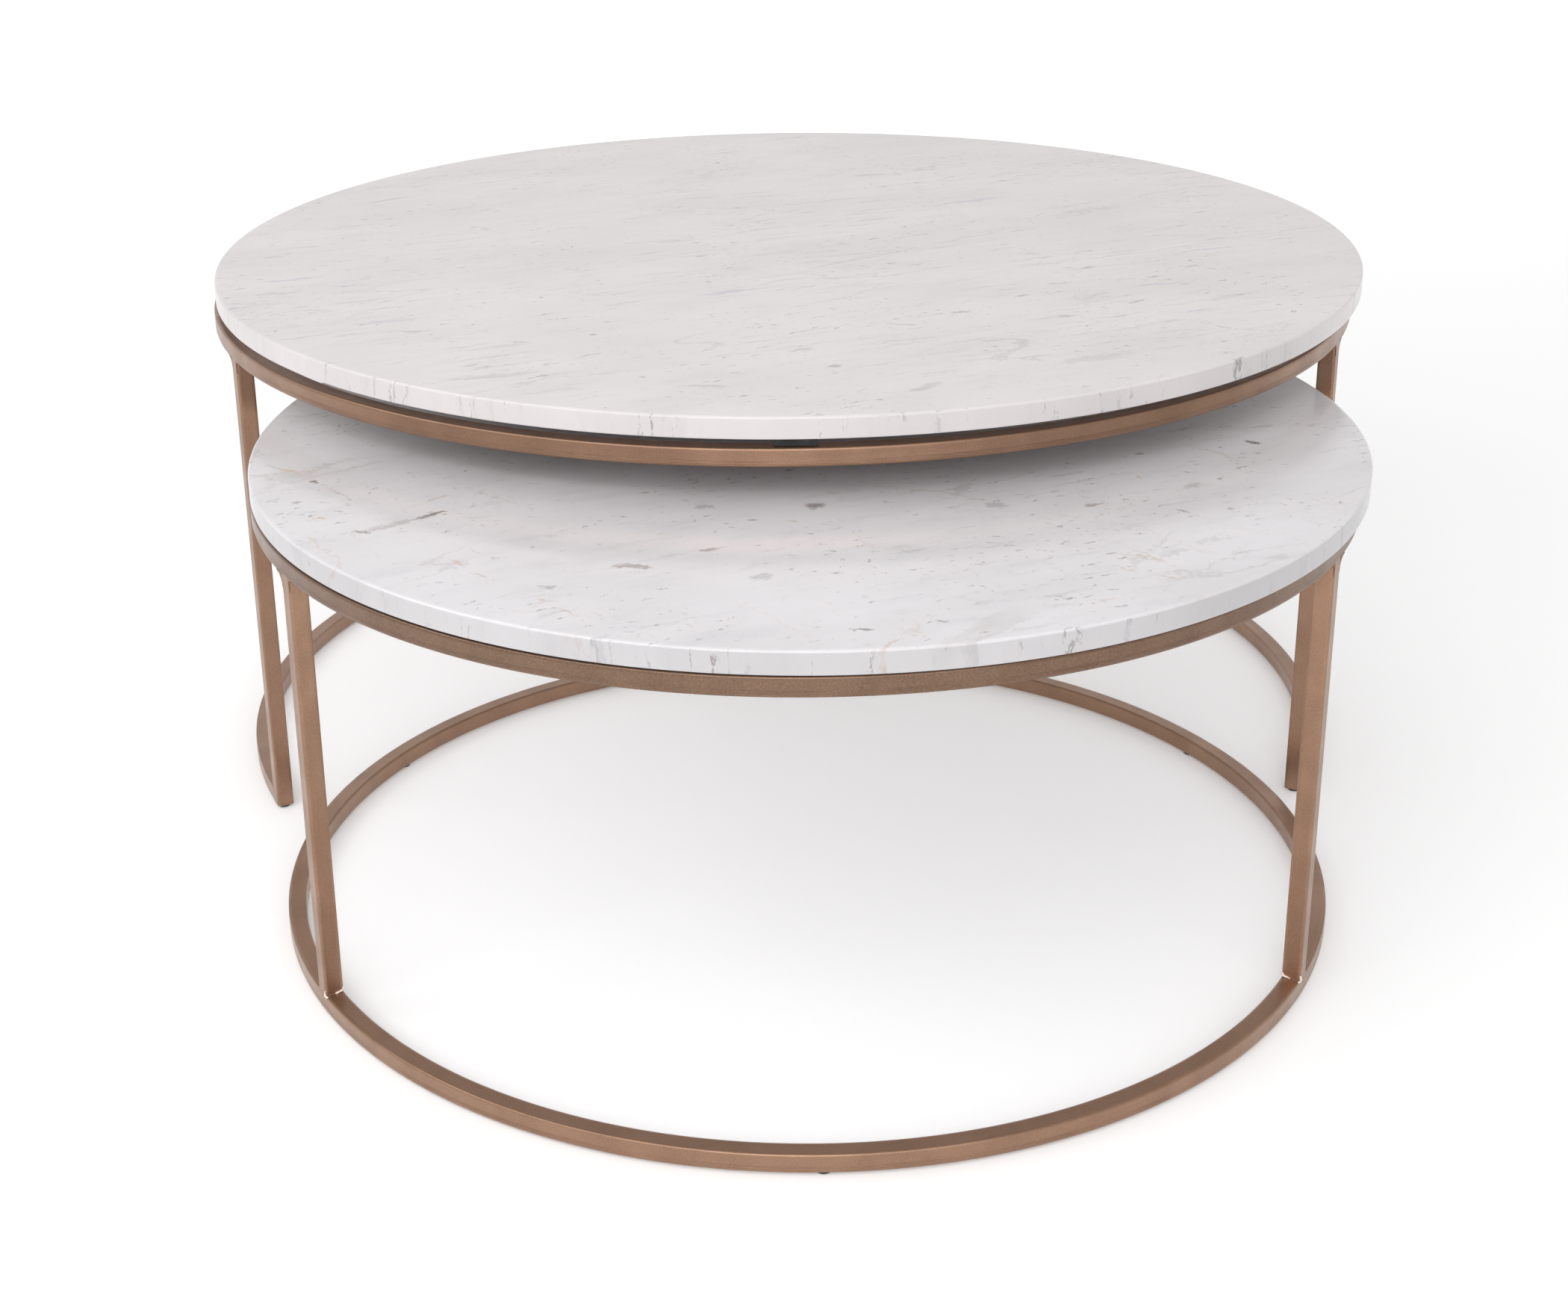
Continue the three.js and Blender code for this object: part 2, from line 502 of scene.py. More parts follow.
@dataclass(frozen=True)
class MarbleFinish:
    """Polished marble with clouds, streaks, hairline veins and single inclusions."""

    name: str
    light: Colour
    dark: Colour
    cloud_tint: Colour
    cloud: float
    rough: float
    edge: float  # painted shade on the slab's side: its brightness as a share of the polished top
    streaks: tuple[Streaks, ...]
    veins: tuple[Streaks, ...]
    inclusions: tuple[Inclusion, ...]
    squash: float = 2.5  # how much flatter the patterns lie in the depth of the stone
    side_shade_depths: tuple[float, float] = (0.5 * MM, 2.0 * MM)  # where the painted shade of the side takes over
    thick: float = 60 * MM  # how far streaks and veins run down into the stone
    spot_thick: float = 50 * MM  # how far an inclusion does
    push: float = 12 * MM  # how far the coarse raggedness moves an outline
    shiver: float = 7 * MM  # how far the fine raggedness moves it
    pit_depth: float = 0.04 * MM
    ior: float = 1.5

    def material(self, centre: Vector) -> bpy.types.Material:
        """Makes the material.

        Args:
            centre: the middle of the slab's top.

        Returns:
            The material.
        """
        shade = Shader(self.name)
        point = shade.mapped(shade.place, centre, stretch=(1.0, 1.0, self.squash))
        ragged = self._ragged(shade, point)
        cloud = shade.noise(shade.mapped(point, turn=25, stretch=(1.6, 0.8, 1.0)), 0.12, 5, 0.55)
        colour = shade.blend(shade.ramp(cloud, 0.35, 0.7), self.light, self.dark)
        wisps = shade.noise(shade.mapped(ragged, turn=22, stretch=(2.4, 0.7, 1.0)), 0.03, 6, 0.62)
        colour = shade.blend(shade.ramp(wisps, 0.5, 0.85, 0.0, self.cloud), colour, self.cloud_tint)
        for streak in self.streaks:
            colour = self._family(shade, ragged, colour, streak, hairline=False)
        for vein in self.veins:
            colour = self._family(shade, ragged, colour, vein, hairline=True)
        fine = shade.mapped(ragged, turn=25, stretch=(1.8, 0.8, 1.0))
        fragments = shade.maths("MULTIPLY", shade.noise(fine, 0.0045, 4, 0.7), 1.6)
        for inclusion in self.inclusions:
            colour = self._inclusion(shade, ragged, fragments, colour, inclusion)
        grain = shade.noise(point, 0.0016, 2, 0.6)
        colour = shade.blend(shade.ramp(grain, 0.3, 0.7, 0.0, 0.05), colour, self.dark)
        # painted shade: the slab's side, below the arris, is darkened by the factor edge
        shallow, deep = (-depth / self.squash for depth in self.side_shade_depths)
        below = shade.ramp(shade.split(point)[2], deep, shallow, 1.0, 0.0)
        colour = shade.blend(below, colour, (self.edge,) * 3, "MULTIPLY")
        gloss = shade.noise(point, 0.04, 4, 0.6)
        pits = shade.ramp(shade.noise(point, 0.0022, 2, 0.5), 0.66, 0.78)
        shade.surface(
            base_color=colour,
            roughness=shade.ramp(gloss, 0.3, 0.7, self.rough, self.rough + 0.06),
            normal=shade.bump(pits, -self.pit_depth),
            ior=self.ior,
        )
        return shade.material

    def _ragged(self, shade: Shader, point: Socket) -> Socket:
        """Pushes the point about, so that what is drawn with it has natural outlines.

        Args:
            shade: the material's tree.
            point: the point.

        Returns:
            The pushed point's socket.
        """
        coarse = shade.noise(point, 0.02, 3, 0.6, colour=True)
        fine = shade.noise(point, 0.004, 3, 0.65, colour=True)
        moved = point
        for lumps, reach in ((coarse, self.push), (fine, self.shiver)):
            offset = shade.vectors("SUBTRACT", lumps, (0.5, 0.5, 0.5))
            moved = shade.vectors("ADD", moved, shade.vectors("SCALE", offset, reach))
        return moved

    def _family(
        self, shade: Shader, point: Socket, colour: Socket, family: Streaks, hairline: bool
    ) -> Socket:
        """Adds one family of soft streaks or hairline veins over a colour.

        Args:
            shade: the material's tree.
            point: where the stone is read.
            colour: the colour below.
            family: the family; a vein's low and high are how far it fades from its middle.
            hairline: whether they are veins.

        Returns:
            The colour's socket.
        """
        shifted = shade.vectors("ADD", point, (family.seed, -family.seed, 0.0))
        stretch = (family.long, family.wide, self.thick)
        along = shade.mapped(shifted, turn=family.turn, stretch=stretch)
        if hairline:
            lumps = shade.noise(along, 1.0, 1.5, 0.4, 0.15)
            off = shade.maths("ABSOLUTE", shade.maths("SUBTRACT", lumps, 0.5))
            mask = shade.ramp(off, family.low, family.high, 1.0, 0.0)
        else:
            mask = shade.ramp(shade.noise(along, 1.0, 4, 0.6), family.low, family.high)
        patch = shade.noise(shifted, family.patch, 2, 0.5)
        share = shade.ramp(patch, family.patch_low, family.patch_high, 0.0, family.strength)
        return shade.blend(shade.maths("MULTIPLY", mask, share), colour, family.tint.value)

    def _inclusion(
        self, shade: Shader, point: Socket, fragments: Socket, colour: Socket, spot: Inclusion
    ) -> Socket:
        """Adds one inclusion over a colour.

        Args:
            shade: the material's tree.
            point: where the stone is read.
            fragments: the noise that breaks it up.
            colour: the colour below.
            spot: the inclusion.

        Returns:
            The colour's socket.
        """
        half = (spot.long * MM / 2, spot.wide * MM / 2, self.spot_thick)
        local = shade.mapped(point, (spot.x * CM, spot.y * CM, 0.0), spot.turn, half)
        away = shade.vectors("LENGTH", local)
        mask = shade.maths("ADD", shade.ramp(away, 0.1, 1.6, 1.0, 0.0), fragments)
        broken = shade.ramp(mask, 1.22, 1.75, 0.0, spot.strength)
        return shade.blend(broken, colour, spot.tint.value)


@dataclass(frozen=True)
class BronzeFinish:
    """Satin rose-bronze metallic paint over welded square tube."""

    colour: Colour = (0.310, 0.179, 0.112)
    deep: Colour = (0.268, 0.150, 0.092)
    flake: Colour = (0.72, 0.50, 0.36)
    painted_groove_shade: Colour = (0.10, 0.05, 0.03)  # painted shade in the grooves and in the line along the top outer corner
    metallic: float = 0.72
    rough: float = 0.34
    coat: float = 0.25
    coat_rough: float = 0.32
    line_size: float = 1.6 * MM  # how far apart the draw lines are
    line_depth: float = 0.06 * MM
    peel_depth: float = 0.02 * MM
    nib_size: float = 4.5 * MM  # the cells that may each hold a nib
    nib_height: float = 0.2 * MM
    grooves: tuple[float, ...] = (-2.3 * MM, -3.2 * MM, -4.3 * MM)  # from the tube's middle
    groove_width: tuple[float, float] = (0.1 * MM, 0.3 * MM)  # its floor and its top, each side
    groove_depth: float = 0.1 * MM
    corner_shade_inset: float = 1.1 * MM  # of the line of painted shade along the top outer corner
    corner_shade_width: tuple[float, float] = (0.2 * MM, 0.5 * MM)
    corner_shade_sides: tuple[float, float] = (0.62, 0.85)  # how far to the side it starts, by radius
    corner_shade_height: tuple[float, float] = (5.0 * MM, 5.5 * MM)  # above the tube's middle
    outer_face: tuple[float, float] = (0.8 * MM, 0.4 * MM)  # inside the outer radius

    def material(
        self, name: str, grain: Grain, centre: Vector, outside: float = 0.0
    ) -> bpy.types.Material:
        """Makes the material for one kind of piece.

        Args:
            name: the material's name.
            grain: which way the draw lines run.
            centre: the middle of the ring that the piece belongs to.
            outside: the ring's outer radius, where its grooves are, or 0 for none.

        Returns:
            The material.
        """
        shade = Shader(name)
        point = shade.mapped(shade.place, centre)
        lines = self._lines(shade, point, grain)
        cloud = shade.noise(point, 0.03, 3, 0.55)
        flake = shade.noise(point, 0.0009, 1, 0.5)
        colour = shade.blend(shade.ramp(cloud, 0.3, 0.7), self.colour, self.deep)
        colour = shade.blend(shade.ramp(flake, 0.35, 0.7, 0.0, 0.10), colour, self.flake)
        colour = shade.blend(shade.ramp(lines, 0.56, 0.72, 0.0, 0.25), colour, self.deep)
        peel = shade.bump(shade.noise(point, 0.0035, 2, 0.5), self.peel_depth)
        drawn = shade.bump(lines, self.line_depth, peel)
        if outside:
            groove = self._grooves(shade, point, outside)
            # painted shade: the grooves and the top corner line are darkened
            colour = shade.blend(shade.maths("MULTIPLY", groove, 0.45), colour, self.painted_groove_shade)
            drawn = shade.bump(groove, -self.groove_depth, drawn)
        nib = self._nibs(shade, point)
        shade.surface(
            base_color=colour,
            metallic=self.metallic,
            roughness=shade.ramp(cloud, 0.25, 0.75, self.rough - 0.04, self.rough + 0.05),
            coat_weight=self.coat,
            coat_roughness=self.coat_rough,
            normal=shade.bump(nib, self.nib_height, drawn),
        )
        return shade.material

    def _lines(self, shade: Shader, point: Socket, grain: Grain) -> Socket:
        """Makes the draw lines of rolled tube.

        Args:
            shade: the material's tree.
            point: the point, from the middle of the ring.
            grain: which way the lines run.

        Returns:
            The lines' socket, about 0.5 on average.
        """
        x, y, z = shade.split(point)
        slow = 0.03  # how fast the pattern changes along a line
        if grain is Grain.ROUND:
            across = shade.maths("ADD", shade.vectors("LENGTH", shade.join(x, y, 0.0)), z)
            read = shade.join(
                shade.maths("MULTIPLY", x, slow), shade.maths("MULTIPLY", y, slow), across
            )
        elif grain is Grain.UPRIGHT:
            read = shade.join(x, y, shade.maths("MULTIPLY", z, slow))
        else:
            read = point
        return shade.noise(read, self.line_size, 2, 0.55)

    def _grooves(self, shade: Shader, point: Socket, outside: float) -> Socket:
        """Makes the fine grooves that bending left along a ring, and a line of painted shade along
        its top outer corner on the sides.

        Args:
            shade: the material's tree.
            point: the point, from the middle of the ring.
            outside: the ring's outer radius.

        Returns:
            The socket of the grooves and the line of painted shade, 1 in the middle of one.
        """
        x, y, z = shade.split(point)
        reach = shade.vectors("LENGTH", shade.join(x, y, 0.0))
        total = 0.0
        for height in self.grooves:
            line = self._line(shade, z, height, self.groove_width)
            total = shade.maths("ADD", line, total, True)
        quick = 8.0  # how much faster the grooves break up along the ring than across it
        spread = shade.join(shade.maths("MULTIPLY", x, quick), shade.maths("MULTIPLY", y, quick), z)
        broken = shade.ramp(shade.noise(spread, 0.5, 2, 0.5), 0.35, 0.6, 0.25, 1.0)
        outer = shade.ramp(reach, *(outside - inset for inset in self.outer_face))
        faces = shade.maths("MULTIPLY", shade.maths("MULTIPLY", total, broken), outer)
        # a dark line along the top outer corner, on the ring's sides only: painted shade
        seam = self._line(shade, reach, outside - self.corner_shade_inset, self.corner_shade_width)
        seam = shade.maths("MULTIPLY", seam, broken)
        side = shade.maths("DIVIDE", shade.maths("ABSOLUTE", x), outside)
        seam = shade.maths("MULTIPLY", seam, shade.ramp(side, *self.corner_shade_sides))
        seam = shade.maths("MULTIPLY", seam, shade.ramp(z, *self.corner_shade_height))
        return shade.maths("ADD", faces, seam)

    @staticmethod
    def _line(shade: Shader, value: Socket, middle: float, width: tuple[float, float]) -> Socket:
        """Gives 1 where a value is near a line's middle, fading to 0 at its sides."""
        off = shade.maths("ABSOLUTE", shade.maths("SUBTRACT", value, middle))
        return shade.ramp(off, *width, 1.0, 0.0)

    def _nibs(self, shade: Shader, point: Socket) -> Socket:
        """Makes the few small nibs in the paint and returns their height socket."""
        cells = shade.add("ShaderNodeTexVoronoi", {"Vector": point})
        cells.inputs["Scale"].default_value = 1.0 / self.nib_size
        near = shade.ramp(cells.outputs["Distance"], 0.05, 0.16, 1.0, 0.0)
        chosen = shade.ramp(shade.split(cells.outputs["Color"])[0], 0.955, 0.965)
        return shade.maths("MULTIPLY", near, chosen)


@dataclass(frozen=True)
class BareWeldFinish:
    """Weld metal that the paint has not covered: pinkish and bright."""

    name: str = "bare_weld"
    colour: Colour = (0.98, 0.84, 0.76)
    scale: Colour = (0.55, 0.36, 0.28)
    metallic: float = 0.6
    depth: float = 0.08 * MM  # of its fine roughness

    def material(self) -> bpy.types.Material:
        """Makes the material and returns it."""
        shade = Shader(self.name)
        spots = shade.noise(shade.place, 0.0012, 3, 0.6)
        shade.surface(
            base_color=shade.blend(shade.ramp(spots, 0.48, 0.62), self.colour, self.scale),
            metallic=self.metallic,
            roughness=shade.ramp(spots, 0.4, 0.6, 0.20, 0.36),
            normal=shade.bump(shade.noise(shade.place, 0.0006, 2, 0.6), self.depth),
        )
        return shade.material


@dataclass(frozen=True)
class MouldedFinish:
    """Moulded black rubber or nylon, with a fine texture and some dust."""

    name: str
    colour: Colour
    dust: Colour
    rough: float
    texture: float  # size of the texture, m
    depth: float = 0.08 * MM

    def material(self) -> bpy.types.Material:
        """Makes the material and returns it."""
        shade = Shader(self.name)
        skin = shade.noise(shade.place, self.texture, 3, 0.6)
        dusty = shade.noise(shade.place, self.texture * 12, 4, 0.6)
        shade.surface(
            base_color=shade.blend(shade.ramp(dusty, 0.45, 0.8, 0.0, 0.5), self.colour, self.dust),
            roughness=shade.ramp(skin, 0.3, 0.7, self.rough - 0.06, self.rough + 0.06),
            normal=shade.bump(skin, self.depth),
        )
        return shade.material


# ---- shared shapes ---------------------------------------------------------------------


@dataclass(frozen=True)
class TubeSection:
    """The section of the square tube: rounded corners, faces drawn in a little."""

    side: float = 13 * MM
    squareness: float = 10.0  # how tight the corners are; 10 rounds them by about 1.5 mm
    dish: float = 0.12 * MM  # how far the middle of a face lies in
    steps: int = 56

    def curve(self, recipe: Recipe) -> Socket:
        """Adds the section to a tree, as a closed curve about the origin.

        Args:
            recipe: the tree.

        Returns:
            The curve's socket.
        """
        side = recipe.size("Side", self.side)
        square = recipe.size("Squareness", self.squareness)
        dish = recipe.size("Dish", self.dish)
        circle = recipe.add(
            "GeometryNodeCurvePrimitiveCircle",
            {"Resolution": recipe.count("Section steps", self.steps), "Radius": 1.0},
        )
        position = recipe.add("GeometryNodeInputPosition").outputs[0]
        x, y, _ = recipe.split(position)
        across = recipe.maths("ABSOLUTE", x)
        upward = recipe.maths("ABSOLUTE", y)
        total = recipe.maths(
            "ADD", recipe.maths("POWER", across, square), recipe.maths("POWER", upward, square)
        )
        reach = recipe.maths("POWER", total, recipe.maths("DIVIDE", -1.0, square))
        low = recipe.maths("MINIMUM", across, upward)
        high = recipe.maths("MAXIMUM", across, upward)
        corner = recipe.maths("DIVIDE", low, high)
        inward = recipe.maths("SUBTRACT", 1.0, recipe.maths("POWER", corner, 2.0))
        half = recipe.maths("MULTIPLY", side, 0.5)
        radius = recipe.maths("MULTIPLY", reach, half)
        radius = recipe.maths("SUBTRACT", radius, recipe.maths("MULTIPLY", inward, dish))
        return recipe.flow(
            "GeometryNodeSetPosition",
            circle.outputs[0],
            {"Position": recipe.vectors("SCALE", position, radius)},
        )


@dataclass(frozen=True)
class Spot:
    """A place on a ring of tube: an angle on the tube's centre line."""

    centre: Vector  # middle of the ring, at the height of the floor
    radius: float  # of the tube's centre line
    angle: float  # degrees from the front towards +X

    def matrix(self, mirrored: bool = False) -> Matrix:
        """Gives the axes at the spot: +X outwards, +Y along the ring, +Z up.

        Args:
            mirrored: whether +Y runs the other way round the ring.

        Returns:
            The matrix from those axes to the frame's.
        """
        turn = math.radians(self.angle)
        outwards = Vector((math.sin(turn), -math.cos(turn), 0.0))
        along = Vector((math.cos(turn), math.sin(turn), 0.0)) * (-1 if mirrored else 1)
        place = self.centre + outwards * self.radius
        rows = ((*outwards, 0.0), (*along, 0.0), (0.0, 0.0, 1.0, 0.0), (*place, 1.0))
        return Matrix(rows).transposed()


def bridge(mesh: bmesh.types.BMesh, rings: Grid) -> None:
    """Joins rings of points with faces and closes both ends.

    Args:
        mesh: the mesh.
        rings: the rings in order, with as many points in each.
    """
    for first, second in zip(rings, rings[1:]):
        for step in range(len(first)):
            mesh.faces.new((first[step], second[step], second[step - 1], first[step - 1]))
    mesh.faces.new(rings[0])
    mesh.faces.new(rings[-1])


def new_piece(
    name: str, mesh_data: bmesh.types.BMesh, finish: bpy.types.Material
) -> bpy.types.Object:
    """Turns finished mesh code into a smooth-shaded piece.

    Args:
        name: the piece's name.
        mesh_data: the mesh, which is freed.
        finish: its material.

    Returns:
        The piece.
    """
    bmesh.ops.remove_doubles(mesh_data, verts=mesh_data.verts, dist=1e-6)
    bmesh.ops.recalc_face_normals(mesh_data, faces=mesh_data.faces)
    mesh = bpy.data.meshes.new(name)
    mesh_data.to_mesh(mesh)
    mesh_data.free()
    mesh.shade_smooth()
    mesh.materials.append(finish)
    piece = bpy.data.objects.new(name, mesh)
    bpy.context.scene.collection.objects.link(piece)
    return piece


def hand_in(piece: bpy.types.Object, body: Body, nodes: Sequence[str] = ()) -> None:
    """Ties a finished piece to its body and the CAD nodes that it stands for.

    Args:
        piece: the piece.
        body: the table that it moves with.
        nodes: the CAD nodes that it replaces.
    """
    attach(piece, body.value)
    if nodes:
        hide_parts(*nodes)
    LOG.info("%s: %d faces, on %s", piece.name, len(piece.data.polygons), body.value)


# ---- sub-assemblies --------------------------------------------------------------------


@dataclass
class MarbleTop:
    """A round slab with a rounded, slightly chipped arris."""

    prefix: str
    body: Body
    slot: Slot
    finish: MarbleFinish
    ease: float = 1.6 * MM
    foot_ease: float = 0.7 * MM
    steps: int = 960
    ease_steps: int = 6
    foot_steps: int = 3
    rim: float = 1.5 * MM  # flat strips beside the arrises, which keep the shading flat there
    wave: float = 0.10 * MM  # how uneven the hand-polished arris is
    wave_size: float = 30 * MM
    chip: float = 0.45 * MM  # the deepest chip
    chip_size: float = 4.5 * MM
    chip_patch: float = 90 * MM  # size of the stretches that chips come in

    def build(self) -> None:
        """Makes the slab in the place of its CAD node."""
        node = f"{self.prefix}_marble_top"
        low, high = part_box(node)
        centre = (low + high) / 2
        radius = (high.y - low.y) / 2
        top = Vector((centre.x, centre.y, high.z))
        mesh = bmesh.new()
        rings = [
            self._ring(mesh, top, reach, drop, edge)
            for reach, drop, edge in self._profile(radius, high.z - low.z)
        ]
        bridge(mesh, rings)
        piece = new_piece(f"{self.prefix}_marble_slab", mesh, self.finish.material(top))
        hand_in(piece, self.body, [node])

    def _profile(self, radius: float, thick: float) -> list[tuple[float, float, float]]:
        """Lists the slab's rings, from the middle of its top to the middle of its underside.

        Args:
            radius: of the slab.
            thick: its thickness.

        Returns:
            For each ring its radius, its depth below the top, and how much the arris's
            unevenness moves it.
        """
        rings = [(radius * share, 0.0, 0.0) for share in (0.5, 0.97)]
        rings.append((radius - self.ease - self.rim, 0.0, 0.0))
        for step in range(self.ease_steps + 1):
            turn = math.pi / 2 * step / self.ease_steps
            reach = radius - self.ease + self.ease * math.sin(turn)
            drop = self.ease - self.ease * math.cos(turn)
            rings.append((reach, drop, math.sin(2 * turn)))
        rings.append((radius, self.ease + 0.6 * MM, 0.0))
        rings.append((radius, thick - self.foot_ease - 0.4 * MM, 0.0))
        for step in range(self.foot_steps + 1):
            turn = math.pi / 2 * step / self.foot_steps
            reach = radius - self.foot_ease + self.foot_ease * math.cos(turn)
            drop = thick - self.foot_ease + self.foot_ease * math.sin(turn)
            rings.append((reach, drop, 0.0))
        rings.append((radius - self.foot_ease - self.rim, thick, 0.0))
        return rings

    def _ring(
        self, mesh: bmesh.types.BMesh, top: Vector, reach: float, drop: float, edge: float
    ) -> list[bmesh.types.BMVert]:
        """Makes one ring of the slab's points.

        Args:
            mesh: the mesh.
            top: the middle of the slab's top.
            reach: the ring's radius.
            drop: its depth below the top.
            edge: how much the arris's unevenness moves it, from 0 to 1.

        Returns:
            The points.
        """
        points = []
        for step in range(self.steps):
            turn = FULL_TURN * step / self.steps
            outwards = Vector((math.cos(turn), math.sin(turn), 0.0))
            worn = edge * self._worn(outwards * reach, drop)
            place = top + outwards * (reach - worn) - Vector((0.0, 0.0, drop + worn))
            points.append(mesh.verts.new(place))
        return points

    def _worn(self, place: Vector, drop: float) -> float:
        """Gives how far the arris is worn or chipped at a place.

        Args:
            place: the place, from the middle of the slab.
            drop: its depth below the top.

        Returns:
            The depth, m.
        """
        wave = 0.5 + 0.5 * noise.noise(place / self.wave_size)
        speck = noise.noise((place + Vector((0.0, 0.0, drop * 4))) / self.chip_size)
        patch = noise.noise(place / self.chip_patch + Vector((3.0, 0.0, 0.0)))
        chipped = max(0.0, speck - 0.42) / 0.4 if patch > 0.05 else 0.0
        return wave * self.wave + min(1.0, chipped) * self.chip


@dataclass
class TubeRing:
    """A full circle of square tube."""

    prefix: str
    node: str
    name: str
    body: Body
    finish: BronzeFinish
    section: TubeSection = field(default_factory=TubeSection)
    steps: int = 360

    def build(self) -> None:
        """Makes the ring in the place of its CAD node."""
        low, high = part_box(self.node)
        centre = (low + high) / 2
        recipe = Recipe(f"{self.name} recipe")
        outside = recipe.size("Outer radius", (high.x - low.x) / 2)
        middle = recipe.maths("SUBTRACT", outside, self.section.side / 2)
        circle = recipe.add(
            "GeometryNodeCurvePrimitiveCircle",
            {"Resolution": recipe.count("Steps", self.steps), "Radius": middle},
        )
        swept = recipe.sweep(circle.outputs[0], self.section.curve(recipe), caps=False)
        recipe.close(recipe.move(swept, "Centre", centre))
        paint = f"{self.name}_paint"
        finish = self.finish.material(paint, Grain.ROUND, centre, (high.x - low.x) / 2)
        hand_in(recipe.make(self.name, finish), self.body, [self.node])


@dataclass
class TubeArc:
    """The large table's base: a circle of square tube, open at the front."""

    node: str
    name: str
    body: Body
    finish: BronzeFinish
    centre: Vector
    outer_radius: float
    leg_angle: float  # degrees from the front
    section: TubeSection = field(default_factory=TubeSection)
    steps: int = 300
    inside_leg: float = 1.0 * MM  # how far short of a leg's middle line the arc's end stops

    def build(self) -> None:
        """Makes the arc, its ends let into the rear faces of the front legs."""
        low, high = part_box(self.node)
        radius = self.outer_radius - self.section.side / 2
        let_in = math.degrees((self.section.side / 2 - self.inside_leg) / radius)
        start = -90.0 + self.leg_angle + let_in
        sweep = 360.0 - 2 * (self.leg_angle + let_in)
        recipe = Recipe(f"{self.name} recipe")
        arc = recipe.add(
            "GeometryNodeCurveArc",
            {
                "Resolution": recipe.count("Steps", self.steps),
                "Radius": recipe.size("Centre line radius", radius),
                "Start Angle": recipe.size("Start", math.radians(start)),
                "Sweep Angle": recipe.size("Sweep", math.radians(sweep)),
            },
        )
        swept = recipe.sweep(arc.outputs[0], self.section.curve(recipe))
        middle = Vector((self.centre.x, self.centre.y, (low.z + high.z) / 2))
        recipe.close(recipe.move(swept, "Centre", middle))
        paint = f"{self.name}_paint"
        finish = self.finish.material(paint, Grain.ROUND, middle, self.outer_radius)
        hand_in(recipe.make(self.name, finish), self.body, [self.node])


@dataclass
class TubeLeg:
    """One upright of square tube between two heights."""

    node: str
    name: str
    body: Body
    finish: bpy.types.Material
    spot: Spot
    low: float
    high: float
    section: TubeSection = field(default_factory=TubeSection)

    def build(self) -> None:
        """Makes the leg in the place of its CAD node."""
        recipe = Recipe(f"{self.name} recipe")
        line = recipe.add(
            "GeometryNodeCurvePrimitiveLine",
            {
                "Start": recipe.vector("Foot", (0.0, 0.0, self.low)),
                "End": recipe.vector("Head", (0.0, 0.0, self.high)),
            },
        )
        section = self.section.curve(recipe)
        swept = recipe.sweep(line.outputs[0], section, normal="MINIMUM_TWIST")
        matrix = self.spot.matrix()
        placed = recipe.flow(
            "GeometryNodeTransform",
            swept,
            {
                "Translation": recipe.vector("Place", matrix.translation),
                "Rotation": recipe.vector("Turn", (0.0, 0.0, math.radians(self.spot.angle))),
            },
        )
        recipe.close(placed)
        piece = recipe.make(self.name, self.finish)
        sharpen_caps(piece)
        hand_in(piece, self.body, [self.node])


def sharpen_caps(piece: bpy.types.Object) -> None:
    """Keeps the flat end faces of a tube from being shaded round.

    Args:
        piece: the tube, whose end faces are its only faces with many corners.
    """
    for face in piece.data.polygons:
        if face.loop_total > 4:
            face.use_smooth = False


@dataclass
class FootPlates:
    """The plates that close the bottoms of the large table's front legs."""

    body: Body
    finish: bpy.types.Material
    spots: dict[str, Spot]
    section: TubeSection = field(default_factory=TubeSection)
    ease: float = 1.1 * MM
    ease_steps: int = 4
    rim: float = 0.8 * MM  # a flat strip beside the rounded edge
    break_edge: float = 0.25 * MM  # at the top

    def build(self) -> None:
        """Makes the plates, each with a rounded lower edge."""
        for side, spot in self.spots.items():
            node = f"large_foot_plate_{side}"
            low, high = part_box(node)
            mesh = bmesh.new()
            rings = []
            for reach, height in self._profile(low.z, high.z):
                rings.append([mesh.verts.new(p) for p in self._outline(spot, reach, height)])
            bridge(mesh, rings)
            piece = new_piece(f"large_foot_cap_{side}", mesh, self.finish)
            hand_in(piece, self.body, [node])

    def _profile(self, low: float, high: float) -> list[tuple[float, float]]:
        """Lists the plate's rings, bottom first, as the half side and the height."""
        half = self.section.side / 2
        rings = [(half - self.ease - self.rim, low)]
        for step in range(self.ease_steps + 1):
            turn = math.pi / 2 * step / self.ease_steps
            reach = half - self.ease + self.ease * math.sin(turn)
            rings.append((reach, low + self.ease - self.ease * math.cos(turn)))
        rings.append((half, high - self.break_edge))
        rings.append((half - self.break_edge, high))
        return rings

    def _outline(self, spot: Spot, half: float, height: float) -> list[Vector]:
        """Gives the plate's rounded square outline at one height.

        Args:
            spot: where the leg stands.
            half: half the side.
            height: above the floor.

        Returns:
            The points, in the frame's axes.
        """
        power = self.section.squareness
        points = []
        for step in range(self.section.steps):
            turn = FULL_TURN * step / self.section.steps
            x, y = math.cos(turn), math.sin(turn)
            reach = half * (abs(x) ** power + abs(y) ** power) ** (-1 / power)
            points.append(spot.matrix() @ Vector((x * reach, y * reach, height)))
        return points


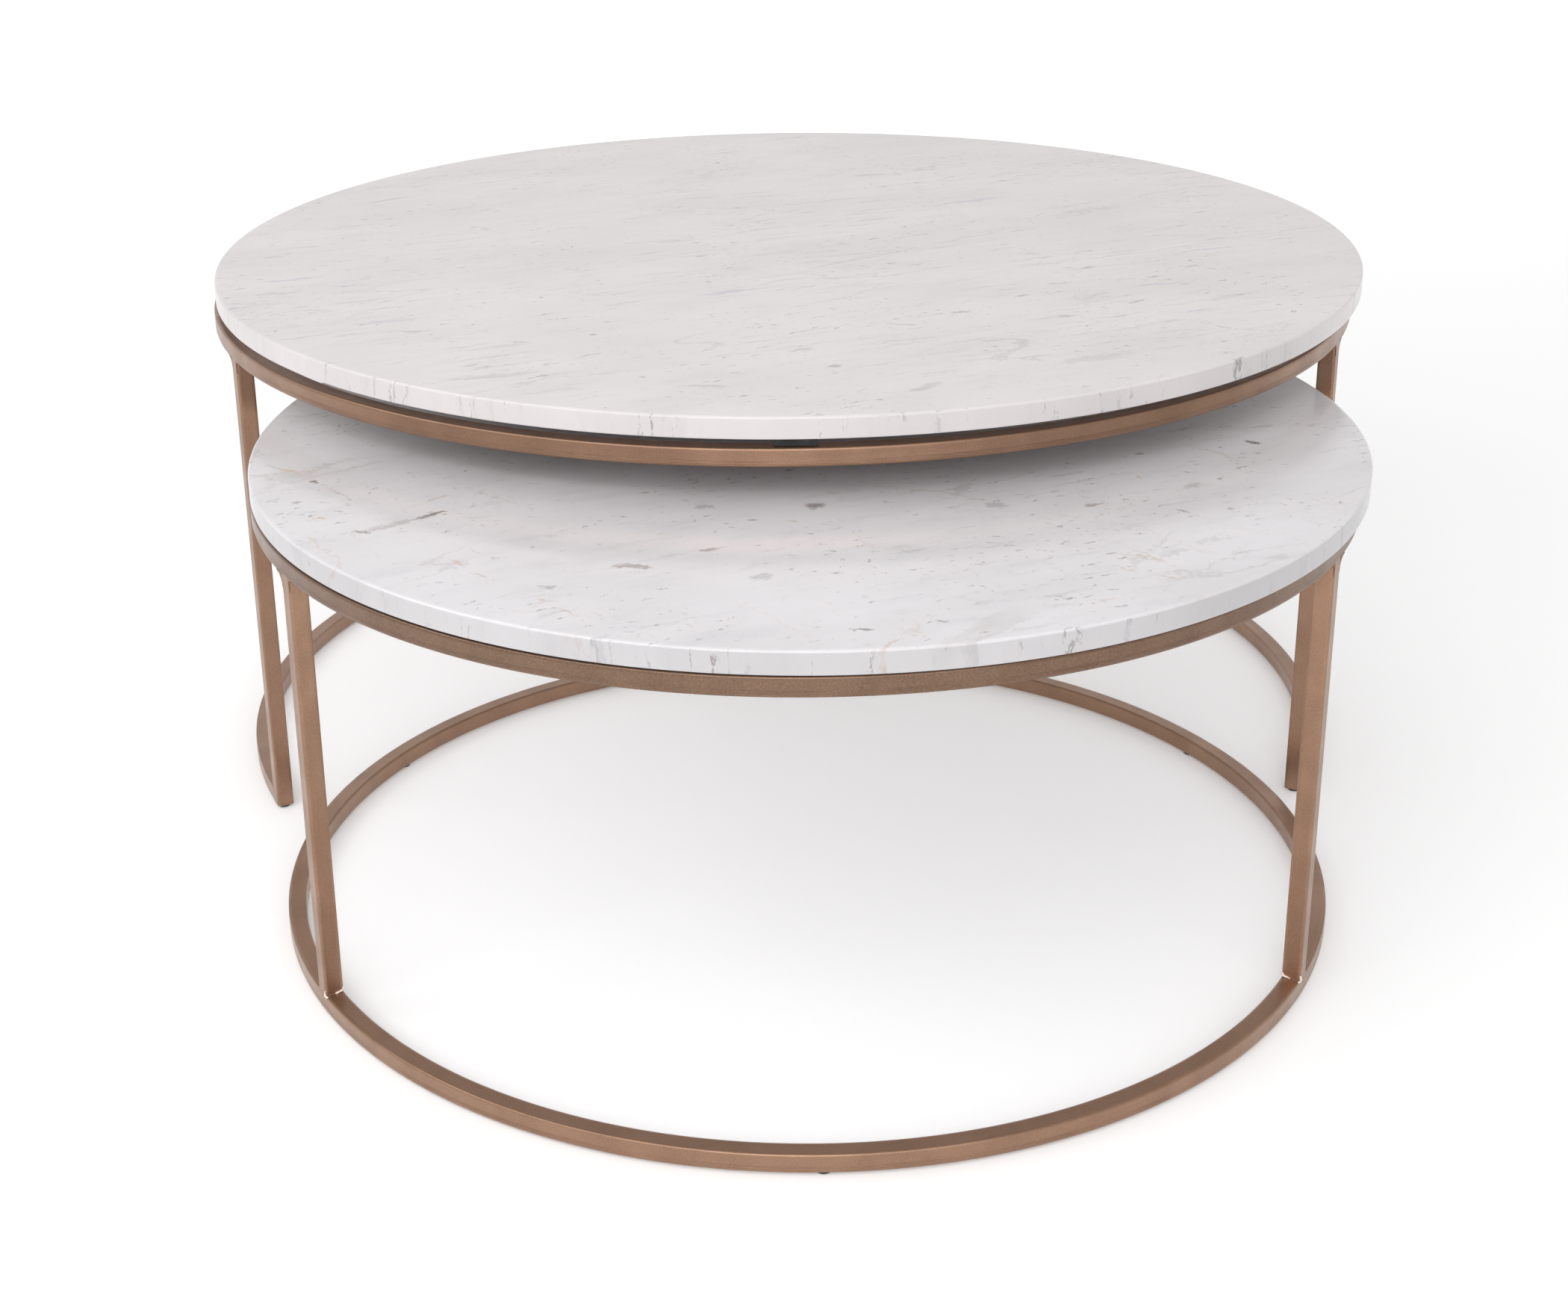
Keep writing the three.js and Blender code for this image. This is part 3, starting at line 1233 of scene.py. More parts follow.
@dataclass
class WeldFillets:
    """Ground and painted weld metal in the corners between legs and rings."""

    name: str
    body: Body
    finish: bpy.types.Material
    side: float = 13 * MM
    steps: int = 10
    buried: float = 0.8 * MM  # how deep the fillet's back lies in the tubes
    inset: float = 0.15 * MM  # from the tube's side faces
    rounding: float = 0.35 * MM  # how much a fillet's two ends are drawn in
    mesh: bmesh.types.BMesh = field(default_factory=bmesh.new)

    def corner(self, spot: Spot, height: float, upward: bool, behind: bool, radius: float) -> None:
        """Adds one concave fillet between a leg's face and a ring's face.

        Args:
            spot: where the leg stands.
            height: of the ring's face.
            upward: whether the leg goes up from that face.
            behind: whether the fillet is on the leg's side of larger angles.
            radius: of the fillet.
        """
        matrix = spot.matrix(mirrored=not behind)
        sign = 1.0 if upward else -1.0
        half = self.side / 2
        arc = []
        for step in range(self.steps + 1):
            turn = math.pi / 2 * step / self.steps
            arc.append((radius * (1 - math.sin(turn)), radius * (1 - math.cos(turn))))
        outline = [
            (-self.buried, radius), *reversed(arc), (radius, -self.buried),
            (-self.buried, -self.buried),
        ]
        across = half - self.inset
        shares = ((-1.0, self.rounding), (-0.88, 0.0), (0.88, 0.0), (1.0, self.rounding))
        rings = []
        for share, shrink in shares:
            ring = []
            for along, up in outline:
                point = (share * across, half + along - shrink, height + sign * (up - shrink))
                ring.append(self.mesh.verts.new(matrix @ Vector(point)))
            rings.append(ring)
        bridge(self.mesh, rings)

    def build(self) -> None:
        """Makes the piece from all the corners that were added."""
        piece = new_piece(self.name, self.mesh, self.finish)
        hand_in(piece, self.body)


@dataclass
class WeldBeads:
    """Weld beads along short seams, drawn as a row of small overlapping ripples."""

    name: str
    body: Body
    finish: bpy.types.Material
    bead: float  # radius of a ripple
    spacing: float
    seed: int
    smallest: Colour = (0.7, 0.7, 0.6)  # a ripple's scale along its axes
    largest: Colour = (1.25, 1.25, 1.1)
    seams: list[list[Vector]] = field(default_factory=list)

    def seam(self, spot: Spot, mirrored: bool, points: Sequence[tuple[float, float, float]]) -> None:
        """Adds one seam.

        Args:
            spot: where the leg stands.
            mirrored: whether the local +Y runs the other way round the ring.
            points: the seam's points in the spot's axes, in mm, with the true height.
        """
        matrix = spot.matrix(mirrored)
        self.seams.append([matrix @ (Vector(point) * MM) for point in points])

    def build(self) -> None:
        """Makes the beads."""
        recipe = Recipe(f"{self.name} recipe")
        seams = self._seams()
        source = recipe.size("Seams", seams, "NodeSocketObject")
        curves = recipe.add("GeometryNodeObjectInfo", {"Object": source}).outputs["Geometry"]
        radius = recipe.size("Bead radius", self.bead)
        seed = recipe.count("Seed", self.seed)
        points = recipe.add(
            "GeometryNodeCurveToPoints",
            {"Curve": curves, "Length": recipe.size("Spacing", self.spacing)},
            mode="LENGTH",
        )
        ripple = recipe.add(
            "GeometryNodeMeshIcoSphere", {"Radius": radius, "Subdivisions": 3}
        ).outputs[0]
        size = recipe.add(
            "FunctionNodeRandomValue",
            {0: self.smallest, 1: self.largest, "Seed": seed},
            data_type="FLOAT_VECTOR",
        )
        turn = recipe.add(
            "FunctionNodeRandomValue",
            {0: (0.0, 0.0, 0.0), 1: (FULL_TURN, FULL_TURN, FULL_TURN), "Seed": seed},
            data_type="FLOAT_VECTOR",
        )
        ripples = recipe.add(
            "GeometryNodeInstanceOnPoints",
            {
                "Points": points.outputs[0],
                "Instance": ripple,
                "Scale": size.outputs[0],
                "Rotation": turn.outputs[0],
            },
        )
        recipe.close(ripples.outputs[0])
        piece = recipe.make(self.name, self.finish)
        bpy.data.objects.remove(seams)
        hand_in(piece, self.body)

    def _seams(self) -> bpy.types.Object:
        """Makes the curve object that the ripples follow and returns it."""
        curve = bpy.data.curves.new(f"{self.name}_seams", "CURVE")
        curve.dimensions = "3D"
        for points in self.seams:
            spline = curve.splines.new("POLY")
            spline.points.add(len(points) - 1)
            for target, point in zip(spline.points, points):
                target.co = (*point, 1.0)
        holder = bpy.data.objects.new(curve.name, curve)
        bpy.context.scene.collection.objects.link(holder)
        return holder


@dataclass
class RingPads:
    """The rubber pads between a top ring and its slab."""

    prefix: str
    body: Body
    finish: bpy.types.Material
    centre: Vector
    count: int = 4
    steps: int = 12
    soft: float = 0.5 * MM  # rounding of the pad's edges

    def build(self) -> None:
        """Makes the pads in the places of their CAD nodes."""
        nodes = [f"{self.prefix}_top_pad_{index + 1}" for index in range(self.count)]
        low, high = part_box(nodes[0])  # this pad lies at the front, across +X
        inner = self.centre.y - high.y
        outer = self.centre.y - low.y
        wide = high.x - low.x
        deep = outer - inner
        tall = high.z - low.z
        middle = (inner + outer) / 2
        recipe = Recipe(f"{self.prefix} pads recipe")
        radius = recipe.size("Radius", middle)
        sweep = wide / outer
        arc = recipe.add(
            "GeometryNodeCurveArc",
            {
                "Resolution": self.steps,
                "Radius": radius,
                "Start Angle": recipe.size("Start", -math.pi / 2 - sweep / 2),
                "Sweep Angle": recipe.size("Sweep", sweep),
            },
        )
        section = recipe.add(
            "GeometryNodeCurvePrimitiveQuadrilateral",
            {"Width": recipe.size("Depth", deep), "Height": recipe.size("Height", tall)},
            mode="RECTANGLE",
        )
        rounded = recipe.flow(
            "GeometryNodeFilletCurve",
            section.outputs[0],
            {"Radius": recipe.size("Edge", min(self.soft, tall / 3)), "Count": 3},
            mode="POLY",
        )
        pad = recipe.sweep(arc.outputs[0], rounded)
        stations = recipe.add(
            "GeometryNodeMeshLine",
            {"Count": recipe.count("Pads", self.count), "Offset": (0.0, 0.0, 0.0)},
        )
        index = recipe.add("GeometryNodeInputIndex").outputs[0]
        turn = recipe.maths("MULTIPLY", index, recipe.size("Step", FULL_TURN / self.count))
        pads = recipe.add(
            "GeometryNodeInstanceOnPoints",
            {"Points": stations.outputs[0], "Instance": pad, "Rotation": recipe.join(0, 0, turn)},
        )
        place = Vector((self.centre.x, self.centre.y, (low.z + high.z) / 2))
        recipe.close(recipe.move(pads.outputs[0], "Centre", place), smooth=False)
        piece = recipe.make(f"{self.prefix}_rubber_pads", self.finish)
        hand_in(piece, self.body, nodes)


@dataclass
class Glides:
    """Round glides under a foot or a ring, each with a chamfered lower edge."""

    name: str
    nodes: list[str]
    body: Body
    finish: bpy.types.Material
    centre: Vector
    chamfer: float = 0.5 * MM
    sides: int = 32

    def build(self) -> None:
        """Makes the glides in the places of their CAD nodes, which lie evenly round a ring."""
        places = []
        for node in self.nodes:
            low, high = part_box(node)
            places.append((low + high) / 2 - self.centre)
        low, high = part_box(self.nodes[0])
        angles = [math.atan2(place.x, -place.y) for place in places]
        step = angles[1] - angles[0] if len(angles) > 1 else 0.0
        radius = (high.y - low.y) / 2
        tall = high.z - low.z
        recipe = Recipe(f"{self.name} recipe")
        wide = recipe.size("Glide radius", radius)
        cut = recipe.size("Chamfer", self.chamfer)
        height = recipe.size("Height", tall)
        body_tall = recipe.maths("SUBTRACT", height, cut)
        sides = recipe.count("Sides", self.sides)
        barrel = recipe.add(
            "GeometryNodeMeshCylinder",
            {"Vertices": sides, "Radius": wide, "Depth": body_tall},
            fill_type="NONE",
        )
        middle = recipe.maths("ADD", cut, recipe.maths("MULTIPLY", body_tall, 0.5))
        raised = recipe.flow(
            "GeometryNodeTransform", barrel.outputs[0], {"Translation": recipe.join(0, 0, middle)}
        )
        bevel = recipe.add(
            "GeometryNodeMeshCone",
            {
                "Vertices": sides,
                "Radius Top": wide,
                "Radius Bottom": recipe.maths("SUBTRACT", wide, cut),
                "Depth": cut,
            },
            fill_type="NONE",
        )
        sole = recipe.add(
            "GeometryNodeMeshCircle",
            {"Vertices": sides, "Radius": recipe.maths("SUBTRACT", wide, cut)},
            fill_type="NGON",
        )
        flipped = recipe.flow("GeometryNodeFlipFaces", sole.outputs[0])
        lid = recipe.add(
            "GeometryNodeMeshCircle", {"Vertices": sides, "Radius": wide}, fill_type="NGON"
        )
        lifted = recipe.flow(
            "GeometryNodeTransform", lid.outputs[0], {"Translation": recipe.join(0, 0, height)}
        )
        whole = recipe.flow(
            "GeometryNodeMergeByDistance",
            recipe.merge(raised, bevel.outputs[0], flipped, lifted),
            {"Distance": 1e-5},
        )
        stations = recipe.add(
            "GeometryNodeMeshLine",
            {"Count": recipe.count("Glides", len(self.nodes)), "Offset": (0.0, 0.0, 0.0)},
        )
        index = recipe.add("GeometryNodeInputIndex").outputs[0]
        first = recipe.size("First angle", angles[0])
        turn = recipe.maths("ADD", first, recipe.maths("MULTIPLY", index, recipe.size("Step", step)))
        reach = recipe.size("Ring radius", places[0].xy.length)
        sideways = recipe.maths("MULTIPLY", reach, recipe.maths("SINE", turn))
        backwards = recipe.maths("MULTIPLY", recipe.maths("COSINE", turn), -1.0)
        backwards = recipe.maths("MULTIPLY", reach, backwards)
        spots = recipe.flow(
            "GeometryNodeSetPosition",
            stations.outputs[0],
            {"Position": recipe.join(sideways, backwards, 0.0)},
        )
        glides = recipe.add("GeometryNodeInstanceOnPoints", {"Points": spots, "Instance": whole})
        floor = Vector((self.centre.x, self.centre.y, low.z))
        recipe.close(recipe.move(glides.outputs[0], "Centre", floor), smooth=False)
        piece = recipe.make(self.name, self.finish)
        hand_in(piece, self.body, self.nodes)


# ---- tables ----------------------------------------------------------------------------


@dataclass
class Table:
    """What both tables share: a slab on pads on a welded frame."""

    prefix: str
    body: Body
    slot: Slot
    marble: MarbleFinish
    bronze: BronzeFinish
    rubber: bpy.types.Material
    nylon: bpy.types.Material
    leg_angle: float  # of each front leg, degrees from the front
    big_fillet: float  # behind the front legs, under the top ring
    fine_fillet: float = 2.2 * MM
    section: TubeSection = field(default_factory=TubeSection)
    overlap: float = 1.5 * MM  # how far a leg is let into a ring's rounded corner
    bead: float = 0.42 * MM  # radius of a ripple of the painted welds
    bead_spacing: float = 0.5 * MM

    @property
    def centre(self) -> Vector:
        """The middle of the table's rings, on the floor."""
        low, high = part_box(f"{self.prefix}_top_ring")
        return Vector(((low.x + high.x) / 2, (low.y + high.y) / 2, 0.0))

    @property
    def outer_radius(self) -> float:
        """The rings' outer radius."""
        low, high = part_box(f"{self.prefix}_top_ring")
        return (high.x - low.x) / 2

    @property
    def ring_low(self) -> float:
        """The height of the top ring's underside."""
        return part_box(f"{self.prefix}_top_ring")[0].z

    def spots(self) -> dict[str, Spot]:
        """Gives where the three legs stand."""
        radius = self.outer_radius - self.section.side / 2
        angles = {"left": -self.leg_angle, "right": self.leg_angle, "back": 180.0}
        return {name: Spot(self.centre, radius, angle) for name, angle in angles.items()}

    def leg_paint(self) -> bpy.types.Material:
        """Makes the paint of the table's upright pieces."""
        return self.bronze.material(f"{self.prefix}_leg_paint", Grain.UPRIGHT, self.centre)

    def weld_paint(self) -> bpy.types.Material:
        """Makes the paint of the table's welds."""
        return self.bronze.material(f"{self.prefix}_weld_paint", Grain.NONE, self.centre)

    def ring_paint(self) -> BronzeFinish:
        """Gives the paint of the top ring."""
        return self.bronze

    def build_top(self) -> None:
        """Makes the slab, the pads and the ring under it."""
        MarbleTop(self.prefix, self.body, self.slot, self.marble).build()
        RingPads(self.prefix, self.body, self.rubber, self.centre).build()
        node = f"{self.prefix}_top_ring"
        paint = self.ring_paint()
        TubeRing(self.prefix, node, f"{self.prefix}_top_tube", self.body, paint).build()

    def build_leg(self, side: str, low: float, paint: bpy.types.Material) -> None:
        """Makes one leg.

        Args:
            side: left, right or back.
            low: the height of its foot.
            paint: its material.
        """
        name = f"{self.prefix}_leg_{side}"
        high = self.ring_low + self.overlap
        spot = self.spots()[side]
        TubeLeg(name, f"{name}_tube", self.body, paint, spot, low, high).build()

    def top_welds(self, fillets: WeldFillets, beads: WeldBeads) -> None:
        """Adds the welds under the top ring.

        Args:
            fillets: the table's ground welds.
            beads: its painted beads.
        """
        ring = self.ring_low
        for side, spot in self.spots().items():
            for behind in (False, True):
                radius = self.big_fillet if self.is_rear(side, behind) else self.fine_fillet
                fillets.corner(spot, ring, False, behind, radius)
            if side != "back":
                height = ring / MM
                corner = (
                    (6.3, 6.35, height - 1.0), (6.35, 6.4, height - 4.0), (6.3, 6.3, height - 8.0)
                )
                beads.seam(spot, side == "right", corner)

    @staticmethod
    def is_rear(side: str, behind: bool) -> bool:
        """Tells whether a side of a leg faces the back of the table.

        Args:
            side: left, right or back.
            behind: whether it is the leg's side of larger angles.

        Returns:
            Whether it does; both sides of the back leg count.
        """
        return side == "back" or (side == "right") == behind


class LargeTable(Table):
    """The large table, whose front legs run to the floor on each side of its open base."""

    def build(self) -> None:
        """Makes all the pieces of the table."""
        self.build_top()
        arc = "large_base_arc"
        arc_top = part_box(arc)[1].z
        TubeArc(
            arc, "large_base_tube", self.body, self.bronze, self.centre, self.outer_radius,
            self.leg_angle,
        ).build()
        paint = self.leg_paint()
        plate_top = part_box("large_foot_plate_left")[1].z
        for side in ("left", "right"):
            self.build_leg(side, plate_top, paint)
        self.build_leg("back", arc_top - self.overlap, paint)
        spots = self.spots()
        front = {side: spots[side] for side in ("left", "right")}
        FootPlates(self.body, paint, front).build()
        for side in front:
            foot = Glides(
                f"large_foot_glide_disc_{side}", [f"large_foot_glide_{side}"], self.body,
                self.nylon, self.centre,
            )
            foot.build()
        arc_nodes = [f"large_arc_glide_{index}" for index in (1, 2, 3)]
        Glides("large_arc_glide_discs", arc_nodes, self.body, self.nylon, self.centre).build()
        weld = self.weld_paint()
        fillets = WeldFillets("large_weld_fillets", self.body, weld)
        beads = WeldBeads(
            "large_weld_beads", self.body, weld, self.bead, self.bead_spacing, seed=11
        )
        self.top_welds(fillets, beads)
        for behind in (False, True):
            fillets.corner(spots["back"], arc_top, True, behind, self.fine_fillet)
        for side, mirrored in (("left", True), ("right", False)):
            top = arc_top / MM
            seam = ((-6.2, 6.6, top - 1.0), (-5.0, 6.7, top), (5.0, 6.7, top), (6.2, 6.6, top - 1.0))
            beads.seam(spots[side], mirrored, seam)
        fillets.build()
        beads.build()


@dataclass
class SmallTable(Table):
    """The small table, whose three legs stand on a full base ring."""

    painted_ring_shade: float = 0.58  # painted shade: the top ring's paint is darkened to this share of the rest
    bare_bead: float = 0.85 * MM
    bare_spacing: float = 0.75 * MM
    glides: int = 6

    def ring_paint(self) -> BronzeFinish:
        """Gives the top ring's paint, darkened as painted shade."""
        # painted shade: the paint's colours are scaled down
        colours = {
            name: tuple(part * self.painted_ring_shade for part in getattr(self.bronze, name))
            for name in ("colour", "deep")
        }
        return replace(self.bronze, **colours)

    def build(self) -> None:
        """Makes all the pieces of the table."""
        self.build_top()
        base = "small_base_ring"
        TubeRing("small", base, "small_base_tube", self.body, self.bronze).build()
        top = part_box(base)[1].z
        paint = self.leg_paint()
        for side in ("left", "right", "back"):
            self.build_leg(side, top - self.overlap, paint)
        nodes = [f"small_glide_{index + 1}" for index in range(self.glides)]
        Glides("small_glide_discs", nodes, self.body, self.nylon, self.centre).build()
        weld = self.weld_paint()
        fillets = WeldFillets("small_weld_fillets", self.body, weld)
        beads = WeldBeads(
            "small_weld_beads", self.body, weld, self.bead, self.bead_spacing, seed=23
        )
        bare = WeldBeads(
            "small_bare_weld_beads", self.body, BareWeldFinish().material(), self.bare_bead,
            self.bare_spacing, seed=5,
        )
        self.top_welds(fillets, beads)
        self._foot_welds(fillets, beads, bare, top)
        for part in (fillets, beads, bare):
            part.build()

    def _foot_welds(
        self, fillets: WeldFillets, beads: WeldBeads, bare: WeldBeads, top: float
    ) -> None:
        """Adds the welds where the legs stand on the base ring.

        Args:
            fillets: the ground welds.
            beads: the painted beads.
            bare: the beads that the paint missed.
            top: the height of the base ring's upper face.
        """
        height = top / MM
        for side, spot in self.spots().items():
            for behind in (False, True):
                if self.is_rear(side, behind):
                    fillets.corner(spot, top, True, behind, self.fine_fillet)
            if side != "back":
                mirrored = side == "right"
                middle = ((-2.0, 6.5, height), (5.0, 6.5, height))
                inner = (
                    (-6.3, 6.2, height + 3.2), (-4.8, 6.9, height + 1.3), (-0.8, 6.9, height + 0.3)
                )
                outer = (
                    (6.3, 6.1, height + 3.0), (6.8, 6.5, height + 1.2), (6.7, 6.9, height - 0.2),
                    (5.6, 7.8, height - 0.7),
                )
                beads.seam(spot, mirrored, middle)
                bare.seam(spot, mirrored, inner)
                bare.seam(spot, mirrored, outer)


# ---- stage -----------------------------------------------------------------------------


@dataclass(frozen=True)
class Camera:
    """The camera, looking from in front and above."""

    place: Colour = (-0.0411, -1.7440, 0.8583)
    down: float = 21.635  # degrees below the horizon
    roll: float = -0.892
    sensor: float = 36.0  # mm
    lens: float = 54.54  # mm
    shift: tuple[float, float] = (0.0296, -0.0534)

    def build(self) -> None:
        """Makes the camera and hands it to the scene."""
        data = bpy.data.cameras.new("front_camera")
        data.sensor_width = self.sensor
        data.lens = self.lens
        data.shift_x, data.shift_y = self.shift
        camera = bpy.data.objects.new("front_camera", data)
        bpy.context.scene.collection.objects.link(camera)
        tilt = Matrix.Rotation(math.radians(90.0 - self.down), 4, "X")
        twist = Matrix.Rotation(math.radians(self.roll), 4, "Z")
        camera.matrix_world = Matrix.Translation(self.place) @ tilt @ twist
        bpy.context.scene.camera = camera


@dataclass(frozen=True)
class Softbox:
    """A rectangular soft light aimed at a point."""

    name: str
    place: Colour
    target: Colour
    wide: float
    tall: float
    watts: float

    def build(self) -> None:
        """Makes the light."""
        data = bpy.data.lights.new(self.name, "AREA")
        data.shape = "RECTANGLE"
        data.size, data.size_y = self.wide, self.tall
        data.energy = self.watts
        light = bpy.data.objects.new(self.name, data)
        bpy.context.scene.collection.objects.link(light)
        aim = Vector(self.target) - Vector(self.place)
        turn = aim.to_track_quat("-Z", "Y").to_matrix().to_4x4()
        light.matrix_world = Matrix.Translation(self.place) @ turn


@dataclass(frozen=True)
class Studio:
    """A pale floor that glows a little and turns to a grey of painted shade further out, soft lights
    and a surround that is paler at the back.
    """

    floor_colour: Colour = (0.90, 0.90, 0.90)
    # painted shade on the floor further out
    apron_colour: Colour = (0.74, 0.74, 0.74)
    apron: tuple[float, float] = (0.85, 2.40)  # how far out the floor turns to the apron's grey of painted shade
    apron_start: float = 0.30  # in front of the origin, where the pale floor starts to widen
    apron_spread: float = 0.5  # how much wider it gets, per metre to the back
    floor_glow: float = 0.20
    floor_half: float = 14.0
    back_glow: float = 0.40  # added far behind the set
    back_from: tuple[float, float] = (0.7, 4.0)  # how far behind it starts and is full
    surround_front: float = 0.56
    surround_back: float = 0.82
    surround_turn: tuple[float, float] = (-0.35, 0.55)  # where it changes, 1 being straight back
    lights: tuple[Softbox, ...] = (
        Softbox("key_softbox", (-0.9, -2.2, 1.9), (0.0, 0.0, 0.25), 3.0, 1.8, 32.0),
        Softbox("front_softbox", (0.3, -2.9, 1.1), (0.0, -0.1, 0.25), 2.8, 1.2, 22.0),
        Softbox("side_softbox", (-2.2, -0.5, 1.7), (0.0, 0.0, 0.3), 1.2, 0.9, 8.0),
        Softbox("top_softbox", (0.4, 0.9, 2.8), (0.0, 0.1, 0.2), 2.6, 2.6, 5.0),
    )

    def build(self) -> None:
        """Makes the floor, the lights and the surround."""
        mesh = bmesh.new()
        bmesh.ops.create_grid(mesh, x_segments=1, y_segments=1, size=self.floor_half)
        floor = new_piece("floor", mesh, self._floor_finish())
        for light in self.lights:
            light.build()
        self._surround()
        bpy.context.scene.view_settings.view_transform = "Standard"

    def _surround(self) -> None:
        """Makes the surround: pale behind the set, dimmer in front of it."""
        world = bpy.data.worlds.new("surround")
        world.use_nodes = True
        graph = Graph(world.node_tree)
        y = graph.split(graph.add("ShaderNodeTexCoord").outputs["Generated"])[1]
        strength = graph.add("ShaderNodeMapRange", interpolation_type="SMOOTHSTEP")
        limits = (y, *self.surround_turn, self.surround_front, self.surround_back)
        for index, value in enumerate(limits):
            graph.put(strength.inputs[index], value)
        background = graph.add("ShaderNodeBackground", {"Color": WHITE})
        graph.put(background.inputs["Strength"], strength.outputs[0])
        output = graph.add("ShaderNodeOutputWorld")
        graph.put(output.inputs["Surface"], background.outputs[0])
        bpy.context.scene.world = world

    def _floor_finish(self) -> bpy.types.Material:
        """Makes the floor's matt material and returns it."""
        shade = Shader("studio_floor")
        x, y, _ = shade.split(shade.place)
        back = shade.maths("ADD", y, self.apron_start)
        behind = shade.maths("MULTIPLY", shade.maths("MAXIMUM", back, 0.0), self.apron_spread)
        across = shade.maths("DIVIDE", x, shade.maths("ADD", behind, 1.0))
        away = shade.vectors("LENGTH", shade.join(across, shade.maths("MINIMUM", y, 0.0), 0.0))
        # painted shade: the floor's grey apron further out, reaching in closest in front
        far = shade.ramp(away, self.apron[1], self.apron[0])
        deep = shade.ramp(y, *self.back_from, 0.0, self.back_glow)
        glow = shade.maths("ADD", shade.maths("MULTIPLY", far, self.floor_glow), deep)
        shade.surface(
            base_color=shade.blend(far, self.apron_colour, self.floor_colour),
            roughness=0.9,
            emission_color=WHITE,
            emission_strength=glow,
        )
        return shade.material


# ---- the set ---------------------------------------------------------------------------

LARGE_MARBLE = MarbleFinish(
    name="warm_marble",
    light=(0.735, 0.690, 0.684),
    dark=(0.672, 0.632, 0.634),
    cloud_tint=(0.560, 0.540, 0.560),
    cloud=0.45,
    rough=0.17,
    # painted shade on the slab's side
    edge=0.94,
    streaks=(
        Streaks(24, 0.060, 0.0060, 0.54, 0.74, 0.16, 0.42, 0.62, Tint.ASH, 0.55, 0.31),
        Streaks(30, 0.018, 0.0032, 0.61, 0.67, 0.09, 0.46, 0.60, Tint.SLATE, 0.60, 1.70),
        Streaks(12, 0.009, 0.0036, 0.63, 0.68, 0.07, 0.46, 0.58, Tint.SLATE, 0.70, 6.60),
        Streaks(20, 0.080, 0.0070, 0.56, 0.70, 0.18, 0.44, 0.60, Tint.LILAC, 0.55, 3.30),
        Streaks(20, 0.120, 0.0030, 0.58, 0.74, 0.14, 0.48, 0.62, Tint.RUST, 0.22, 5.10),
    ),
    veins=(
        Streaks(26, 0.50, 0.09, 0.0, 0.006, 0.10, 0.50, 0.62, Tint.TAUPE, 0.30, 2.20),
    ),
    inclusions=(
        Inclusion(-40.5, -17.0, 26, 6, 35, Tint.LILAC, 0.55),
        Inclusion(-39.0, -13.0, 26, 6, 20, Tint.LILAC, 0.50),
        Inclusion(-34.5, -18.0, 42, 7, -8, Tint.LILAC, 0.30),
        Inclusion(-30.0, -16.0, 20, 5, 40, Tint.LILAC, 0.40),
        Inclusion(-22.0, -32.5, 22, 5, 30, Tint.SLATE, 0.35),
        Inclusion(-14.0, -30.5, 30, 5, 42, Tint.SLATE, 0.35),
        Inclusion(-17.0, -32.5, 8, 4, -15, Tint.LILAC, 0.70),
        Inclusion(2.5, -34.0, 15, 7, 15, Tint.SLATE, 0.55),
        Inclusion(0.5, -30.0, 24, 10, 20, Tint.ASH, 0.55),
        Inclusion(8.0, -39.0, 34, 10, 35, Tint.ASH, 0.55),
        Inclusion(7.5, -24.0, 28, 5, -20, Tint.ASH, 0.50),
        Inclusion(13.5, -28.5, 28, 5, 8, Tint.SLATE, 0.35),
        Inclusion(30.0, -26.0, 22, 4, -25, Tint.SLATE, 0.35),
        Inclusion(20.0, -13.5, 24, 6, 22, Tint.SLATE, 0.35),
        Inclusion(-38.0, -9.0, 60, 8, 18, Tint.LILAC, 0.45),
        Inclusion(-33.0, -11.0, 44, 6, 12, Tint.LILAC, 0.40),
        Inclusion(-27.0, -24.0, 26, 5, 14, Tint.SLATE, 0.40),
        Inclusion(-19.0, -27.0, 20, 5, -22, Tint.SLATE, 0.40),
        Inclusion(-20.0, -35.0, 90, 12, 16, Tint.ASH, 0.40),
        Inclusion(-6.0, -38.0, 44, 9, -6, Tint.ASH, 0.45),
        Inclusion(2.0, -6.0, 26, 5, 16, Tint.SLATE, 0.35),
        Inclusion(12.0, -21.0, 20, 7, 15, Tint.SLATE, 0.50),
        Inclusion(17.0, -17.0, 16, 6, 25, Tint.SLATE, 0.55),
        Inclusion(19.5, -22.5, 18, 6, 10, Tint.SLATE, 0.50),
        Inclusion(23.0, -9.0, 22, 7, 20, Tint.SLATE, 0.50),
        Inclusion(27.5, -12.0, 14, 6, 15, Tint.UMBER, 0.45),
        Inclusion(25.0, -19.0, 20, 6, 30, Tint.SLATE, 0.50),
        Inclusion(31.0, -9.0, 18, 6, 24, Tint.SLATE, 0.45),
        Inclusion(20.0, -33.0, 80, 16, 24, Tint.ASH, 0.35),
        Inclusion(32.0, -18.0, 60, 12, 30, Tint.ASH, 0.30),
        Inclusion(16.0, 14.0, 90, 12, 26, Tint.LILAC, 0.40),
        Inclusion(8.0, 25.0, 44, 12, 12, Tint.TAUPE, 0.35),
        Inclusion(-34.0, 18.0, 60, 8, 32, Tint.ASH, 0.40),
    ),
)

